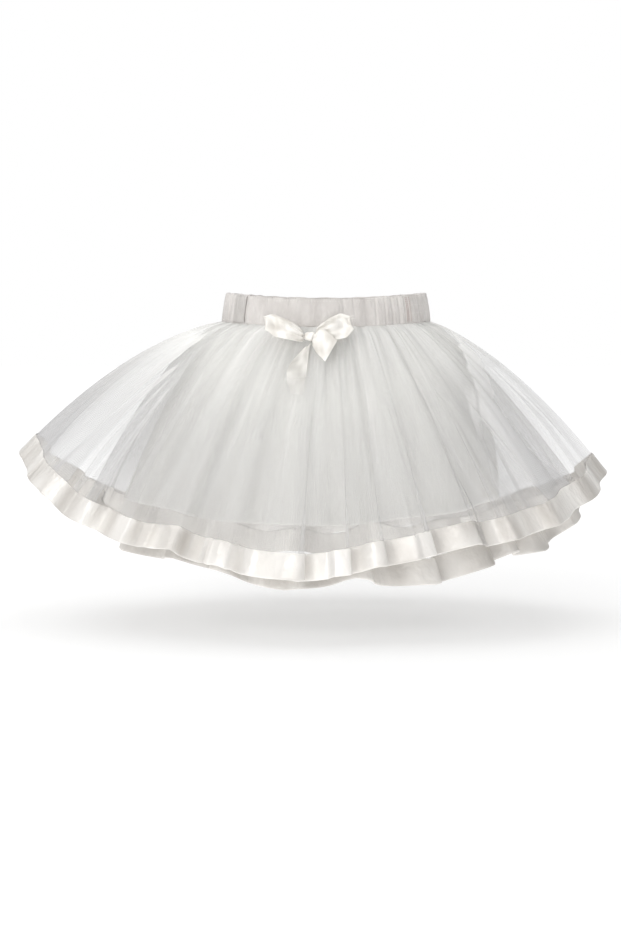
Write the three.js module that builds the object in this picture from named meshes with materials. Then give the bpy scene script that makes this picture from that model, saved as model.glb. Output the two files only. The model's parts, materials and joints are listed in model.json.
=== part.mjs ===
// A child's tutu, worn shape with nobody in it: an elasticated waistband, a plain lining, and two
// gathered tulle skirts whose hems are bound with satin ribbon, with a satin bow sewn to the front.
// Millimetres. +Z is up and the front faces -Y. The origin is the middle of the waist opening.
import * as THREE from "three";

// ---------- Driving sizes ----------

const SEAM_GAP = 0.3;

const BAND = {
  halfWidth: 104, // at the bottom edge
  halfDepth: 76,
  height: 27.5,
  wall: 3.4,
  flare: 4.5, // how much narrower the top edge is, on each side
  sideMiddle: 1.8, // height of the band's middle line at the sides
  dip: 4.6, // how much lower that line runs at the front and back
  frontFrom: 221.5, // degrees: the plain front panel's two side seams
  frontTo: 316.9,
  gathers: 36, // in the elasticated back panel
  gatherDepth: 1.3,
  creases: 7, // soft upright creases in the plain front panel
  creaseDepth: 0.5,
  samples: 4, // points for each gather or crease
  rippleMiddle: 0.6, // how deep a ripple is halfway down, as a share of its depth at the edges
};

const CLOTH_WALL = 1.0;
const RIBBON = {
  width: 25,
  proud: 0.3, // how far its fold stands off the tulle, in and out
  gap: 0.6, // between the tulle's cut edge and the fold
};

// How a gathered skirt's folds run down it. The distance from seam to hem counts as 1.
const FOLD = {
  samples: 8, // points for each fold
  upright: 0.07, // where the cloth has left the seam, at which it stands upright
  growth: 1.3, // power with which a fold deepens towards the hem
  crestLift: 0.3, // how much of its depth a crest also rises
  fullness: 2, // how far the crests and hollows are filled out sideways
};

// One row for each fold round the hem. at: degrees, 0 at +X and 270 at the front. depth: how far the
// crest stands out and the hollow beside it falls back. lean: how far the crest slides round the
// hem, over the next fold if positive. drop: how much lower the fold hangs than the even hem.
const OUTER_FOLDS = [
  { at: 0, depth: 8, lean: 2, drop: 0 },
  { at: 19, depth: 9, lean: -3, drop: 2 },
  { at: 36, depth: 11, lean: 10, drop: 4 },
  { at: 52, depth: 10, lean: -6, drop: -2 },
  { at: 68, depth: 12, lean: 12, drop: 3 },
  { at: 83, depth: 10, lean: -3, drop: -3 },
  { at: 99, depth: 13, lean: 11, drop: 2 },
  { at: 114, depth: 10, lean: -8, drop: -1 },
  { at: 130, depth: 11, lean: 5, drop: 4 },
  { at: 146, depth: 9, lean: -4, drop: 0 },
  { at: 163, depth: 10, lean: 2, drop: 2 },
  { at: 182, depth: 7, lean: -2, drop: 0 },
  { at: 203, depth: 7, lean: 2, drop: 3 },
  { at: 219, depth: 8, lean: 3, drop: 4 },
  { at: 231, depth: 8, lean: 13, drop: 2 },
  { at: 242, depth: 9, lean: 13, drop: -5 },
  { at: 252, depth: 8, lean: 3, drop: 0 },
  { at: 265, depth: 9, lean: 17, drop: 8 },
  { at: 281, depth: 9, lean: 4, drop: 0 },
  { at: 290, depth: 8, lean: 8, drop: -6 },
  { at: 300, depth: 8, lean: 3, drop: -8 },
  { at: 311, depth: 10, lean: -10, drop: -1 },
  { at: 324, depth: 9, lean: -4, drop: 1 },
  { at: 341, depth: 8, lean: 3, drop: 0 },
];

const UNDER_FOLDS = [
  { at: 0, depth: 6, lean: 2, drop: 0 },
  { at: 20, depth: 9, lean: -5, drop: 2 },
  { at: 40, depth: 8, lean: 6, drop: -2 },
  { at: 60, depth: 10, lean: -3, drop: 3 },
  { at: 80, depth: 9, lean: 6, drop: 0 },
  { at: 100, depth: 11, lean: -4, drop: 3 },
  { at: 120, depth: 9, lean: 6, drop: -2 },
  { at: 140, depth: 8, lean: -5, drop: 2 },
  { at: 160, depth: 9, lean: 3, drop: 0 },
  { at: 180, depth: 7, lean: -2, drop: 0 },
  { at: 199, depth: 8, lean: 3, drop: 2 },
  { at: 217, depth: 9, lean: -2, drop: 0 },
  { at: 232, depth: 8, lean: 6, drop: -4 },
  { at: 244, depth: 8, lean: -3, drop: -3 },
  { at: 257, depth: 10, lean: 9, drop: 8 },
  { at: 274, depth: 8, lean: -3, drop: -6 },
  { at: 289, depth: 10, lean: 6, drop: 7 },
  { at: 304, depth: 9, lean: 3, drop: 4 },
  { at: 320, depth: 9, lean: 6, drop: 6 },
  { at: 341, depth: 7, lean: -3, drop: 2 },
];

// Each layer hangs from its own oval under the waistband. hem: the hem's oval, its height at the
// sides and at the front and back, how much lower it hangs at +X than at -X, and how squarely it
// comes down from the sides. bend: where the cloth turns between seam and hem at each place, as
// shares of its reach outwards and of its fall.
const SKIRTS = {
  outer: {
    inset: 0.3,
    hem: { centreX: -13, halfWidth: 287, halfDepth: 163, side: -151, front: -241, tilt: 12, square: 1.3 },
    bend: {
      right: { out: 0.5, fall: 0.24 },
      left: { out: 0.5, fall: 0.16 },
      front: { out: 0.42, fall: 0.34 },
    },
    folds: OUTER_FOLDS,
    gatherDepth: 1.2,
    rows: [0, FOLD.upright, 0.3, 0.6],
    colour: "#f1f0ee",
  },
  under: {
    inset: 1.7,
    hem: { centreX: 10, halfWidth: 247, halfDepth: 139, side: -191, front: -256, tilt: -3, square: 1.3 },
    bend: {
      right: { out: 0.42, fall: 0.27 },
      left: { out: 0.5, fall: 0.2 },
      front: { out: 0.4, fall: 0.4 },
    },
    folds: UNDER_FOLDS,
    gatherDepth: 0.8,
    rows: [0, 0.1, 0.5],
    colour: "#ecebe8",
  },
};

const LINING = {
  inset: 3.1,
  hem: { centreX: -16, halfWidth: 184, halfDepth: 108, side: -186, front: -203, tilt: 3, square: 2 },
  bend: {
    right: { out: 1.1, fall: 0.4 },
    left: { out: 0.56, fall: 0.3 },
    front: { out: 0.4, fall: 0.4 },
  },
  folds: 9,
  foldDepth: 5,
  sway: 0.4, // a slow swing in and out under the folds, as a share of their depth
  samples: 72,
  rows: [0, 0.12, 0.35, 0.65, 1],
  colour: "#f4f3ef",
};

const BOW = {
  angle: 261, // where the knot sits on the waistband
  height: -25,
  stand: 13.8, // how far in front of the waistband's face its middle is
  knot: { halfWidth: 6, halfDepth: 6.6, halfHeight: 6 },
  wall: 1.0,
  narrow: 8, // the ribbon's width where the knot pinches it
  wide: 22,
};

const SATIN = { color: "#f3efe7", roughness: 0.35, metalness: 0 };
const COTTON = { color: "#ece8e2", roughness: 0.75, metalness: 0 };

// ---------- Small helpers ----------

const mix = THREE.MathUtils.lerp;
const radians = THREE.MathUtils.degToRad;
const vector = (x, y, z) => new THREE.Vector3(x, y, z);

const bandMiddle = (angle) => BAND.sideMiddle - BAND.dip * Math.sin(angle) ** 2;
const seamHeight = (angle) => bandMiddle(angle) - BAND.height / 2 - SEAM_GAP;

/** One closed solid between two grids of points, rows running down and columns round. */
function wall(outer, inner, closed) {
  const rows = outer.length;
  const count = outer[0].length;
  const at = (side, row, i) => (side * rows + row) * count + (i % count);
  const faces = [];
  const quad = (a, b, c, d) => faces.push(a, b, c, a, c, d);
  const spans = closed ? count : count - 1;
  for (let i = 0; i < spans; i++) {
    for (let row = 0; row + 1 < rows; row++) {
      quad(at(0, row, i), at(0, row + 1, i), at(0, row + 1, i + 1), at(0, row, i + 1));
      quad(at(1, row, i), at(1, row, i + 1), at(1, row + 1, i + 1), at(1, row + 1, i));
    }
    const last = rows - 1;
    quad(at(0, 0, i), at(0, 0, i + 1), at(1, 0, i + 1), at(1, 0, i));
    quad(at(0, last, i), at(1, last, i), at(1, last, i + 1), at(0, last, i + 1));
  }
  for (let row = 0; !closed && row + 1 < rows; row++) {
    const end = count - 1;
    quad(at(0, row, 0), at(1, row, 0), at(1, row + 1, 0), at(0, row + 1, 0));
    quad(at(0, row, end), at(0, row + 1, end), at(1, row + 1, end), at(1, row, end));
  }
  const corners = [...outer.flat(), ...inner.flat()];
  return new THREE.BufferGeometry().setFromPoints(corners).setIndex(faces);
}

function named(name, geometry, material) {
  geometry.computeVertexNormals();
  const mesh = new THREE.Mesh(geometry, new THREE.MeshStandardMaterial(material));
  mesh.name = name;
  return mesh;
}

const steps = (count, from, to) =>
  Array.from({ length: count + 1 }, (_, i) => mix(from, to, i / count));

// ---------- Waistband ----------

/** A point of the waistband: level runs from 1 at the top edge to -1 at the bottom. */
function bandPoint(angle, level, depth) {
  const inwards = depth + (BAND.flare * (level + 1)) / 2;
  return vector(
    (BAND.halfWidth - inwards) * Math.cos(angle),
    (BAND.halfDepth - inwards) * Math.sin(angle),
    bandMiddle(angle) + (level * BAND.height) / 2,
  );
}

/** A panel of the waistband, from one side seam to the other, with ripples pressed into its face. */
function bandPanel(name, from, to, ripples, rippleDepth) {
  const trim = THREE.MathUtils.radToDeg(SEAM_GAP / 2 / BAND.halfDepth);
  const angles = steps(ripples * BAND.samples, from + trim, to - trim);
  const face = [1, 0, -1].map((level) =>
    angles.map((degrees, i) => {
      const ripple = (1 - Math.cos((2 * Math.PI * i) / BAND.samples)) / 2;
      const share = mix(BAND.rippleMiddle, 1, Math.abs(level));
      return bandPoint(radians(degrees), level, ripple * rippleDepth * share);
    }),
  );
  const back = [1, 0, -1].map((level) =>
    angles.map((degrees) => bandPoint(radians(degrees), level, BAND.wall)),
  );
  return named(name, wall(face, back, false), COTTON);
}

// ---------- Skirts ----------

/** Where a fold number round the hem lies: its angle and the two folds' values mixed there. */
function foldAt(folds, u) {
  const count = folds.length;
  const whole = Math.floor(u);
  const share = u - whole;
  const here = folds[THREE.MathUtils.euclideanModulo(whole, count)];
  const next = folds[THREE.MathUtils.euclideanModulo(whole + 1, count)];
  const nextAt = next.at + (next.at <= here.at ? 360 : 0);
  return {
    share,
    angle: radians(mix(here.at, nextAt, share)),
    depth: mix(here.depth, next.depth, share),
    lean: mix(here.lean, next.lean, share),
    drop: mix(here.drop, next.drop, share),
  };
}

/** Where the cloth turns at one angle, mixed from the rows for right, left and front. */
function bendAt(bend, angle) {
  const front = Math.sin(angle) ** 2;
  const side = Math.cos(angle) > 0 ? bend.right : bend.left;
  return { out: mix(side.out, bend.front.out, front), fall: mix(side.fall, bend.front.fall, front) };
}

/** The smooth shape under the folds: seam, bend and hem at one angle, and the way out from the body. */
function hang({ hem, bend, inset }, angle) {
  const across = Math.cos(angle);
  const seam = vector(
    (BAND.halfWidth - inset) * across,
    (BAND.halfDepth - inset) * Math.sin(angle),
    seamHeight(angle),
  );
  const edge = vector(
    hem.centreX + hem.halfWidth * across,
    hem.halfDepth * Math.sin(angle),
    mix(hem.side - hem.tilt * across, hem.front, Math.abs(Math.sin(angle)) ** hem.square),
  );
  const { out, fall } = bendAt(bend, angle);
  const turn = vector(
    mix(seam.x, edge.x, out),
    mix(seam.y, edge.y, out),
    mix(seam.z, edge.z, fall),
  );
  const away = vector(edge.x - seam.x, edge.y - seam.y, 0).normalize();
  return { curve: new THREE.QuadraticBezierCurve3(seam, turn, edge), away };
}

/** A point of a gathered skirt's outer face: u counts folds, t runs from the seam at 0 to the hem at 1. */
function skirtPoint(skirt, u, t) {
  const fold = foldAt(skirt.folds, u);
  const { curve, away } = hang(skirt, fold.angle);
  const round = vector(-away.y, away.x, 0);
  const wave = Math.cos(2 * Math.PI * fold.share);
  const gather = Math.cos(4 * Math.PI * fold.share) * skirt.gatherDepth;
  const pinch = Math.min(1, t / FOLD.upright) * (1 - t) ** 2;
  const swing = fold.depth * wave * t ** FOLD.growth + gather * pinch;
  const slide = FOLD.fullness * Math.sin(4 * Math.PI * fold.share) + fold.lean * wave;
  return curve
    .getPoint(t)
    .addScaledVector(away, swing)
    .addScaledVector(round, slide * t * t)
    .add(vector(0, 0, (FOLD.crestLift * fold.depth * wave - fold.drop) * t * t));
}

/** The way out of a surface at a point; level at the seam, where the walls stand side by side. */
function outward(surface, u, t) {
  const tiny = 1e-3;
  const round = surface(u + tiny, t).sub(surface(u - tiny, t));
  const down = surface(u, t + tiny).sub(surface(u, Math.max(0, t - tiny)));
  const normal = down.cross(round).normalize();
  const level = vector(normal.x, normal.y, 0).normalize();
  return level.lerp(normal, Math.min(1, t / FOLD.upright)).normalize();
}

const offset = (surface, u, t, distance) =>
  surface(u, t).addScaledVector(outward(surface, u, t), distance);

/** A closed ring of cloth: rows of t (or functions of u that give it) between two offsets. */
function clothRing(surface, turns, samples, rows, outerOffset, innerOffset) {
  const row = (t, distance) =>
    Array.from({ length: samples }, (_, i) => {
      const u = (turns * i) / samples;
      return offset(surface, u, typeof t === "function" ? t(u) : t, distance);
    });
  return wall(
    rows.map((t) => row(t, outerOffset)),
    rows.map((t) => row(t, innerOffset)),
    true,
  );
}

/** How much of t the given length of cloth takes up at the hem. */
function hemShare(skirt, u, length) {
  const { curve } = hang(skirt, foldAt(skirt.folds, u).angle);
  return length / (2 * curve.v2.distanceTo(curve.v1));
}

/** A skirt of tulle down to the satin ribbon that is folded over its cut edge. */
function tulleSkirt(name, skirt) {
  const surface = (u, t) => skirtPoint(skirt, u, t);
  const turns = skirt.folds.length;
  const samples = turns * FOLD.samples;
  const ribbonTop = (u) => 1 - hemShare(skirt, u, RIBBON.width);
  const clothEnd = (u) => 1 - hemShare(skirt, u, RIBBON.width + RIBBON.gap);
  const cloth = clothRing(surface, turns, samples, [...skirt.rows, clothEnd], 0, -CLOTH_WALL);
  const { proud } = RIBBON;
  const ribbon = clothRing(surface, turns, samples, [ribbonTop, 1], proud, -CLOTH_WALL - proud);
  return [
    named(`${name}_tulle_skirt`, cloth, { color: skirt.colour, roughness: 0.9, metalness: 0 }),
    named(`${name}_hem_ribbon`, ribbon, SATIN),
  ];
}

/** A point of the lining, which is cut narrower and hangs in a few soft folds. */
function liningPoint(turn, t) {
  const { curve, away } = hang(LINING, turn * 2 * Math.PI);
  const wave = Math.cos(2 * Math.PI * LINING.folds * turn) + LINING.sway * Math.sin(4 * Math.PI * turn);
  return curve.getPoint(t).addScaledVector(away, LINING.foldDepth * wave * t * t);
}

function lining() {
  const cloth = clothRing(liningPoint, 1, LINING.samples, LINING.rows, 0, -CLOTH_WALL);
  return named("lining", cloth, { color: LINING.colour, roughness: 0.8, metalness: 0 });
}

// ---------- Bow ----------

const knotCentre = (() => {
  const face = bandPoint(radians(BOW.angle), 0, 0);
  return vector(face.x, face.y - BOW.stand, BOW.height);
})();

function bowKnot() {
  const { halfWidth, halfDepth, halfHeight } = BOW.knot;
  const ball = new THREE.SphereGeometry(1, 14, 10).scale(halfWidth, halfDepth, halfHeight);
  const knot = named("bow_knot", ball, SATIN);
  knot.position.copy(knotCentre);
  return knot;
}

/** A strip of ribbon along a path of centre points, with a width and a way across at each. */
function ribbonStrip(path) {
  const points = path.map(({ centre }) => centre);
  const tangent = (i) =>
    points[Math.min(i + 1, points.length - 1)].clone().sub(points[Math.max(i - 1, 0)]).normalize();
  const grid = (distance) =>
    [0.5, 0, -0.5].map((share) =>
      path.map(({ centre, width, up }, i) => {
        const normal = tangent(i).cross(up).normalize();
        return centre.clone().addScaledVector(up, share * width).addScaledVector(normal, distance);
      }),
    );
  return wall(grid(BOW.wall / 2), grid(-BOW.wall / 2), false);
}

// A loop leaves the back of the knot, runs out along the waistband, turns, and comes back in front.
// reach and rise place its far end, belly is how far the front run stands out, and lean is how far
// its crosswise line leans outwards.
const LOOPS = {
  left: { side: -1, reach: 37, rise: 17, belly: 9, lean: 0.12 },
  right: { side: 1, reach: 33, rise: 15, belly: 10, lean: -0.32 },
};
const LOOP_STEPS = 18;
const LOOP_CLEAR = 4.5; // from the waistband's face
const LOOP_ROOT = 2; // how far behind and in front of the knot's middle a loop starts and ends
const LOOP_TIP_BACK = 0.3; // how far its upper edge leans back

function bowLoop(name, { side, reach, rise, belly, lean }) {
  const start = BOW.knot.halfWidth + 2 * SEAM_GAP;
  const path = steps(LOOP_STEPS, 0, 1).map((share) => {
    const open = Math.sin(Math.PI * share);
    const x = knotCentre.x + side * (start + reach * open);
    const bandFace = -BAND.halfDepth * Math.sqrt(1 - (x / BAND.halfWidth) ** 2);
    const back = mix(knotCentre.y + LOOP_ROOT, bandFace - LOOP_CLEAR, open);
    const front = knotCentre.y - LOOP_ROOT - belly * Math.sqrt(open);
    return {
      centre: vector(x, mix(back, front, share), BOW.height + rise * open),
      width: mix(BOW.narrow, BOW.wide, Math.sqrt(open)),
      up: vector(side * lean, LOOP_TIP_BACK, 1).normalize(),
    };
  });
  return named(name, ribbonStrip(side > 0 ? path : path.reverse()), SATIN);
}

// The ribbon's loose ends, which hang in front of the outer skirt. Columns: the middle of the ribbon
// from the knot's middle, its width there, and how far its crosswise line dips to the right.
const ENDS = {
  tail: [
    { x: -2, y: -1, z: -8.6, width: 8, dip: -35 },
    { x: -8.5, y: -4, z: -18, width: 17, dip: -28 },
    { x: -12, y: -10.5, z: -30, width: 20, dip: -12 },
    { x: -13, y: -17.5, z: -42, width: 17, dip: 0 },
    { x: -12, y: -24, z: -54, width: 11, dip: 8 },
  ],
  flap: [
    { x: 2.5, y: -7, z: -4, width: 9, dip: 95 },
    { x: 8, y: -10, z: -4, width: 22, dip: 100 },
    { x: 14.5, y: -11.5, z: -8, width: 24, dip: 112 },
    { x: 20, y: -12, z: -13.5, width: 23, dip: 120 },
  ],
};

function bowEnd(name, rows) {
  const path = rows.map(({ x, y, z, width, dip }) => ({
    centre: vector(x, y, z).add(knotCentre),
    width,
    up: vector(-Math.cos(radians(dip)), 0, Math.sin(radians(dip))),
  }));
  return named(name, ribbonStrip(path), SATIN);
}

// ---------- The tutu ----------

const tutu = new THREE.Group();
tutu.add(
  bandPanel("waistband_front", BAND.frontFrom, BAND.frontTo, BAND.creases, BAND.creaseDepth),
  bandPanel("waistband_back", BAND.frontTo, BAND.frontFrom + 360, BAND.gathers, BAND.gatherDepth),
  ...tulleSkirt("outer", SKIRTS.outer),
  ...tulleSkirt("under", SKIRTS.under),
  lining(),
  bowKnot(),
  bowLoop("bow_loop_left", LOOPS.left),
  bowLoop("bow_loop_right", LOOPS.right),
  bowEnd("bow_tail", ENDS.tail),
  bowEnd("bow_flap", ENDS.flap),
);

export default tutu;
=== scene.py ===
"""A child's ribbon-edged tulle tutu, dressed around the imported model.

The tables and formulas are in millimetres, as the pattern of the garment is, and every mesh is
made in metres. +Z is up and the front faces -Y. Angles run round the waist in degrees, 0 at +X
and 270 in front.
"""

import json
import logging
import math
from dataclasses import dataclass, field
from enum import Enum
from typing import Sequence

import bpy
import numpy as np
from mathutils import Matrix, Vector

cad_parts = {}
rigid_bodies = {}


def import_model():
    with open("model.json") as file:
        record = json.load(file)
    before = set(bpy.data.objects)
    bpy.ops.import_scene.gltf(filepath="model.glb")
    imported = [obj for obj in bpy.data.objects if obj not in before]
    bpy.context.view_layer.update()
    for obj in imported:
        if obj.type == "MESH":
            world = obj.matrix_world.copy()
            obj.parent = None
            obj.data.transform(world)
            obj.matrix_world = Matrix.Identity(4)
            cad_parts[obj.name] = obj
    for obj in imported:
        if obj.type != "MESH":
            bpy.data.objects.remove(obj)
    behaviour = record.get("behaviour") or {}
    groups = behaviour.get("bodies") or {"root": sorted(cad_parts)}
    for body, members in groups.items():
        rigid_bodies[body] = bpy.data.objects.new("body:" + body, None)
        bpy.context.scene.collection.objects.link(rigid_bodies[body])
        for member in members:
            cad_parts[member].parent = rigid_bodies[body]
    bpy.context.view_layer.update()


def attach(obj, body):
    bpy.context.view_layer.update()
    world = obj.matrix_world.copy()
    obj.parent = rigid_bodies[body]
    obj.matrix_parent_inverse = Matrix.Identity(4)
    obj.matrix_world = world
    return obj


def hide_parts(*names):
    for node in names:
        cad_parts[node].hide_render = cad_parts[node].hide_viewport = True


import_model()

log = logging.getLogger("tutu")

MM = 0.001
BODY = "root"
THREAD_LIFT = 0.05

Array = np.ndarray
Colour = tuple[float, float, float]
FoldRow = tuple[float, float, float, float]


# ---------- Cloth as grids of points ----------


class Held(Enum):
    """How a piece of cloth is held."""

    GATHERED = "gathered"
    FOLDED = "folded"
    STRETCHED = "stretched"


def smooth(x: Array) -> Array:
    """An even rise from 0 to 1."""
    x = np.clip(x, 0.0, 1.0)
    return x * x * (3 - 2 * x)


def mix(a: Array, b: Array, share: Array) -> Array:
    """A value between a and b."""
    return a + (b - a) * share


def bell(distance: Array) -> Array:
    """A smooth rise to 1 where the distance is 0."""
    return np.exp(-(distance**2))


def off_centre(degrees: Array, centre: Array) -> Array:
    """Degrees from a centre, the short way round."""
    return np.mod(degrees - centre + 180, 360) - 180


def ring(columns: int) -> Array:
    """The share of a turn at each column of a closed grid."""
    return np.arange(columns) / columns


def ring_cut(columns: int) -> Array:
    """The share of the cut's width at each column, and at the edge where the grid closes."""
    return np.arange(columns + 1) / columns


def unit(ways: Array) -> Array:
    """The same ways with a length of 1."""
    return ways / np.linalg.norm(ways, axis=-1, keepdims=True)


def length_of(points: Array) -> float:
    """Length of a line through the points, in metres."""
    return float(np.linalg.norm(np.diff(points, axis=0), axis=1).sum() * MM)


def along(points: Array) -> Array:
    """Length from the line's start to each of its points, in millimetres."""
    return np.concatenate([[0], np.cumsum(np.linalg.norm(np.diff(points, axis=0), axis=1))])


def looped(points: Array) -> Array:
    """The points with the first one again at the end."""
    return np.concatenate([points, points[:1]])


class Wander:
    """Smooth, seeded, uneven values round a closed ring, from about -1 to 1."""

    def __init__(self, knots: int, seed: int) -> None:
        """Draws one value for each knot.

        Args:
            knots: how many values there are round the ring.
            seed: number that fixes the draw.
        """
        self.knots = knots
        self.values = np.random.default_rng(seed).uniform(-1, 1, knots)

    def __call__(self, turn: Array) -> Array:
        """The value at each place.

        Args:
            turn: shares of a turn.

        Returns:
            One value for each.
        """
        place = np.mod(turn, 1.0) * self.knots
        whole = np.floor(place).astype(int)
        share = smooth(place - whole)
        return mix(self.values[whole % self.knots], self.values[(whole + 1) % self.knots], share)


def normals_of(points: Array, closed: bool) -> Array:
    """The way out of a grid of points whose rows run down and whose columns run round.

    Args:
        points: rows by columns by 3.
        closed: whether the last column joins the first.

    Returns:
        One unit vector for each point.
    """
    if closed:
        along = np.roll(points, -1, 1) - np.roll(points, 1, 1)
    else:
        along = np.gradient(points, axis=1)
    down = np.gradient(points, axis=0)
    normal = np.cross(down, along)
    length = np.linalg.norm(normal, axis=2, keepdims=True)
    return normal / np.maximum(length, 1e-9)


@dataclass
class ClothGrid:
    """A piece of cloth: a grid of points in millimetres and its place on the flat cut in metres.

    values holds further numbers for each point, which its material reads.
    """

    points: Array
    cut: Array
    closed: bool = True
    values: dict[str, Array] = field(default_factory=dict)

    def to_object(self, name: str, wall: float = 0.0) -> bpy.types.Object:
        """Makes the mesh.

        Args:
            name: the piece's name.
            wall: thickness in millimetres laid half on each side, or 0 for a bare net.

        Returns:
            The new object, at the origin.
        """
        rows, columns = self.points.shape[:2]
        spans = columns if self.closed else columns - 1
        row, column = np.meshgrid(np.arange(rows - 1), np.arange(spans), indexing="ij")
        corners = ((0, 0), (1, 0), (1, 1), (0, 1))
        faces = [(row + down) * columns + (column + across) % columns for down, across in corners]
        places = [self.cut[row + down, column + across] for down, across in corners]
        mesh = bpy.data.meshes.new(name)
        mesh.from_pydata(
            (self.points.reshape(-1, 3) * MM).tolist(),
            [],
            np.stack(faces, axis=-1).reshape(-1, 4).tolist(),
        )
        layer = mesh.uv_layers.new(name="cut")
        layer.data.foreach_set("uv", np.stack(places, axis=2).astype(np.float32).ravel())
        for key, value in self.values.items():
            attribute = mesh.attributes.new(key, "FLOAT", "POINT")
            attribute.data.foreach_set("value", value.astype(np.float32).ravel())
        mesh.polygons.foreach_set("use_smooth", [True] * len(mesh.polygons))
        mesh.update()
        piece = add_object(name, mesh)
        if wall:
            thicken(piece, wall)
        return piece


def flat_cut(turns: Array, falls: Array, width: float, length: float) -> Array:
    """Where each point of a grid lies on the flat cut.

    Args:
        turns: share of the cut's width for each column, with one more column than a closed grid.
        falls: share of the cut's length for each row, 0 at the top.
        width: of the cut, in metres.
        length: of the cut, in metres.

    Returns:
        Rows by columns by 2, in metres.
    """
    across, down = np.meshgrid(turns * width, (1 - falls) * length)
    return np.stack([across, down], axis=-1)


def add_object(name: str, data: bpy.types.ID) -> bpy.types.Object:
    """Makes an object and puts it in the scene.

    Args:
        name: the object's name.
        data: its mesh, lamp or camera.

    Returns:
        The object, at the origin.
    """
    made = bpy.data.objects.new(name, data)
    bpy.context.scene.collection.objects.link(made)
    return made


def only(piece: bpy.types.Object) -> None:
    """Selects one piece alone and makes it active.

    Args:
        piece: the piece.
    """
    for other in bpy.context.view_layer.objects:
        other.select_set(False)
    piece.select_set(True)
    bpy.context.view_layer.objects.active = piece


def thicken(piece: bpy.types.Object, wall: float) -> None:
    """Gives cloth a thin wall with closed edges, half of it on each side.

    Args:
        piece: the cloth, its faces pointing outwards.
        wall: thickness in millimetres.
    """
    solid = piece.modifiers.new("wall", "SOLIDIFY")
    solid.thickness = wall * MM
    solid.offset = 0
    solid.use_even_offset = False
    only(piece)
    bpy.ops.object.modifier_apply(modifier=solid.name)


def mend(piece: bpy.types.Object, apart: float, open_ends: bool) -> None:
    """Merges doubled points, closes open ends and turns every face outwards.

    Args:
        piece: the piece.
        apart: how far apart two points are merged, in metres.
        open_ends: whether the piece is a tube with ends to close.
    """
    only(piece)
    bpy.ops.object.mode_set(mode="EDIT")
    bpy.ops.mesh.select_all(action="SELECT")
    bpy.ops.mesh.remove_doubles(threshold=apart)
    if open_ends:
        bpy.ops.mesh.select_all(action="DESELECT")
        bpy.ops.mesh.select_mode(type="EDGE")
        bpy.ops.mesh.select_non_manifold(extend=False)
        bpy.ops.mesh.fill_holes(sides=0)
        bpy.ops.mesh.select_all(action="SELECT")
    bpy.ops.mesh.normals_make_consistent(inside=False)
    bpy.ops.mesh.select_all(action="DESELECT")
    bpy.ops.object.mode_set(mode="OBJECT")


# ---------- Finishes ----------


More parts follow.
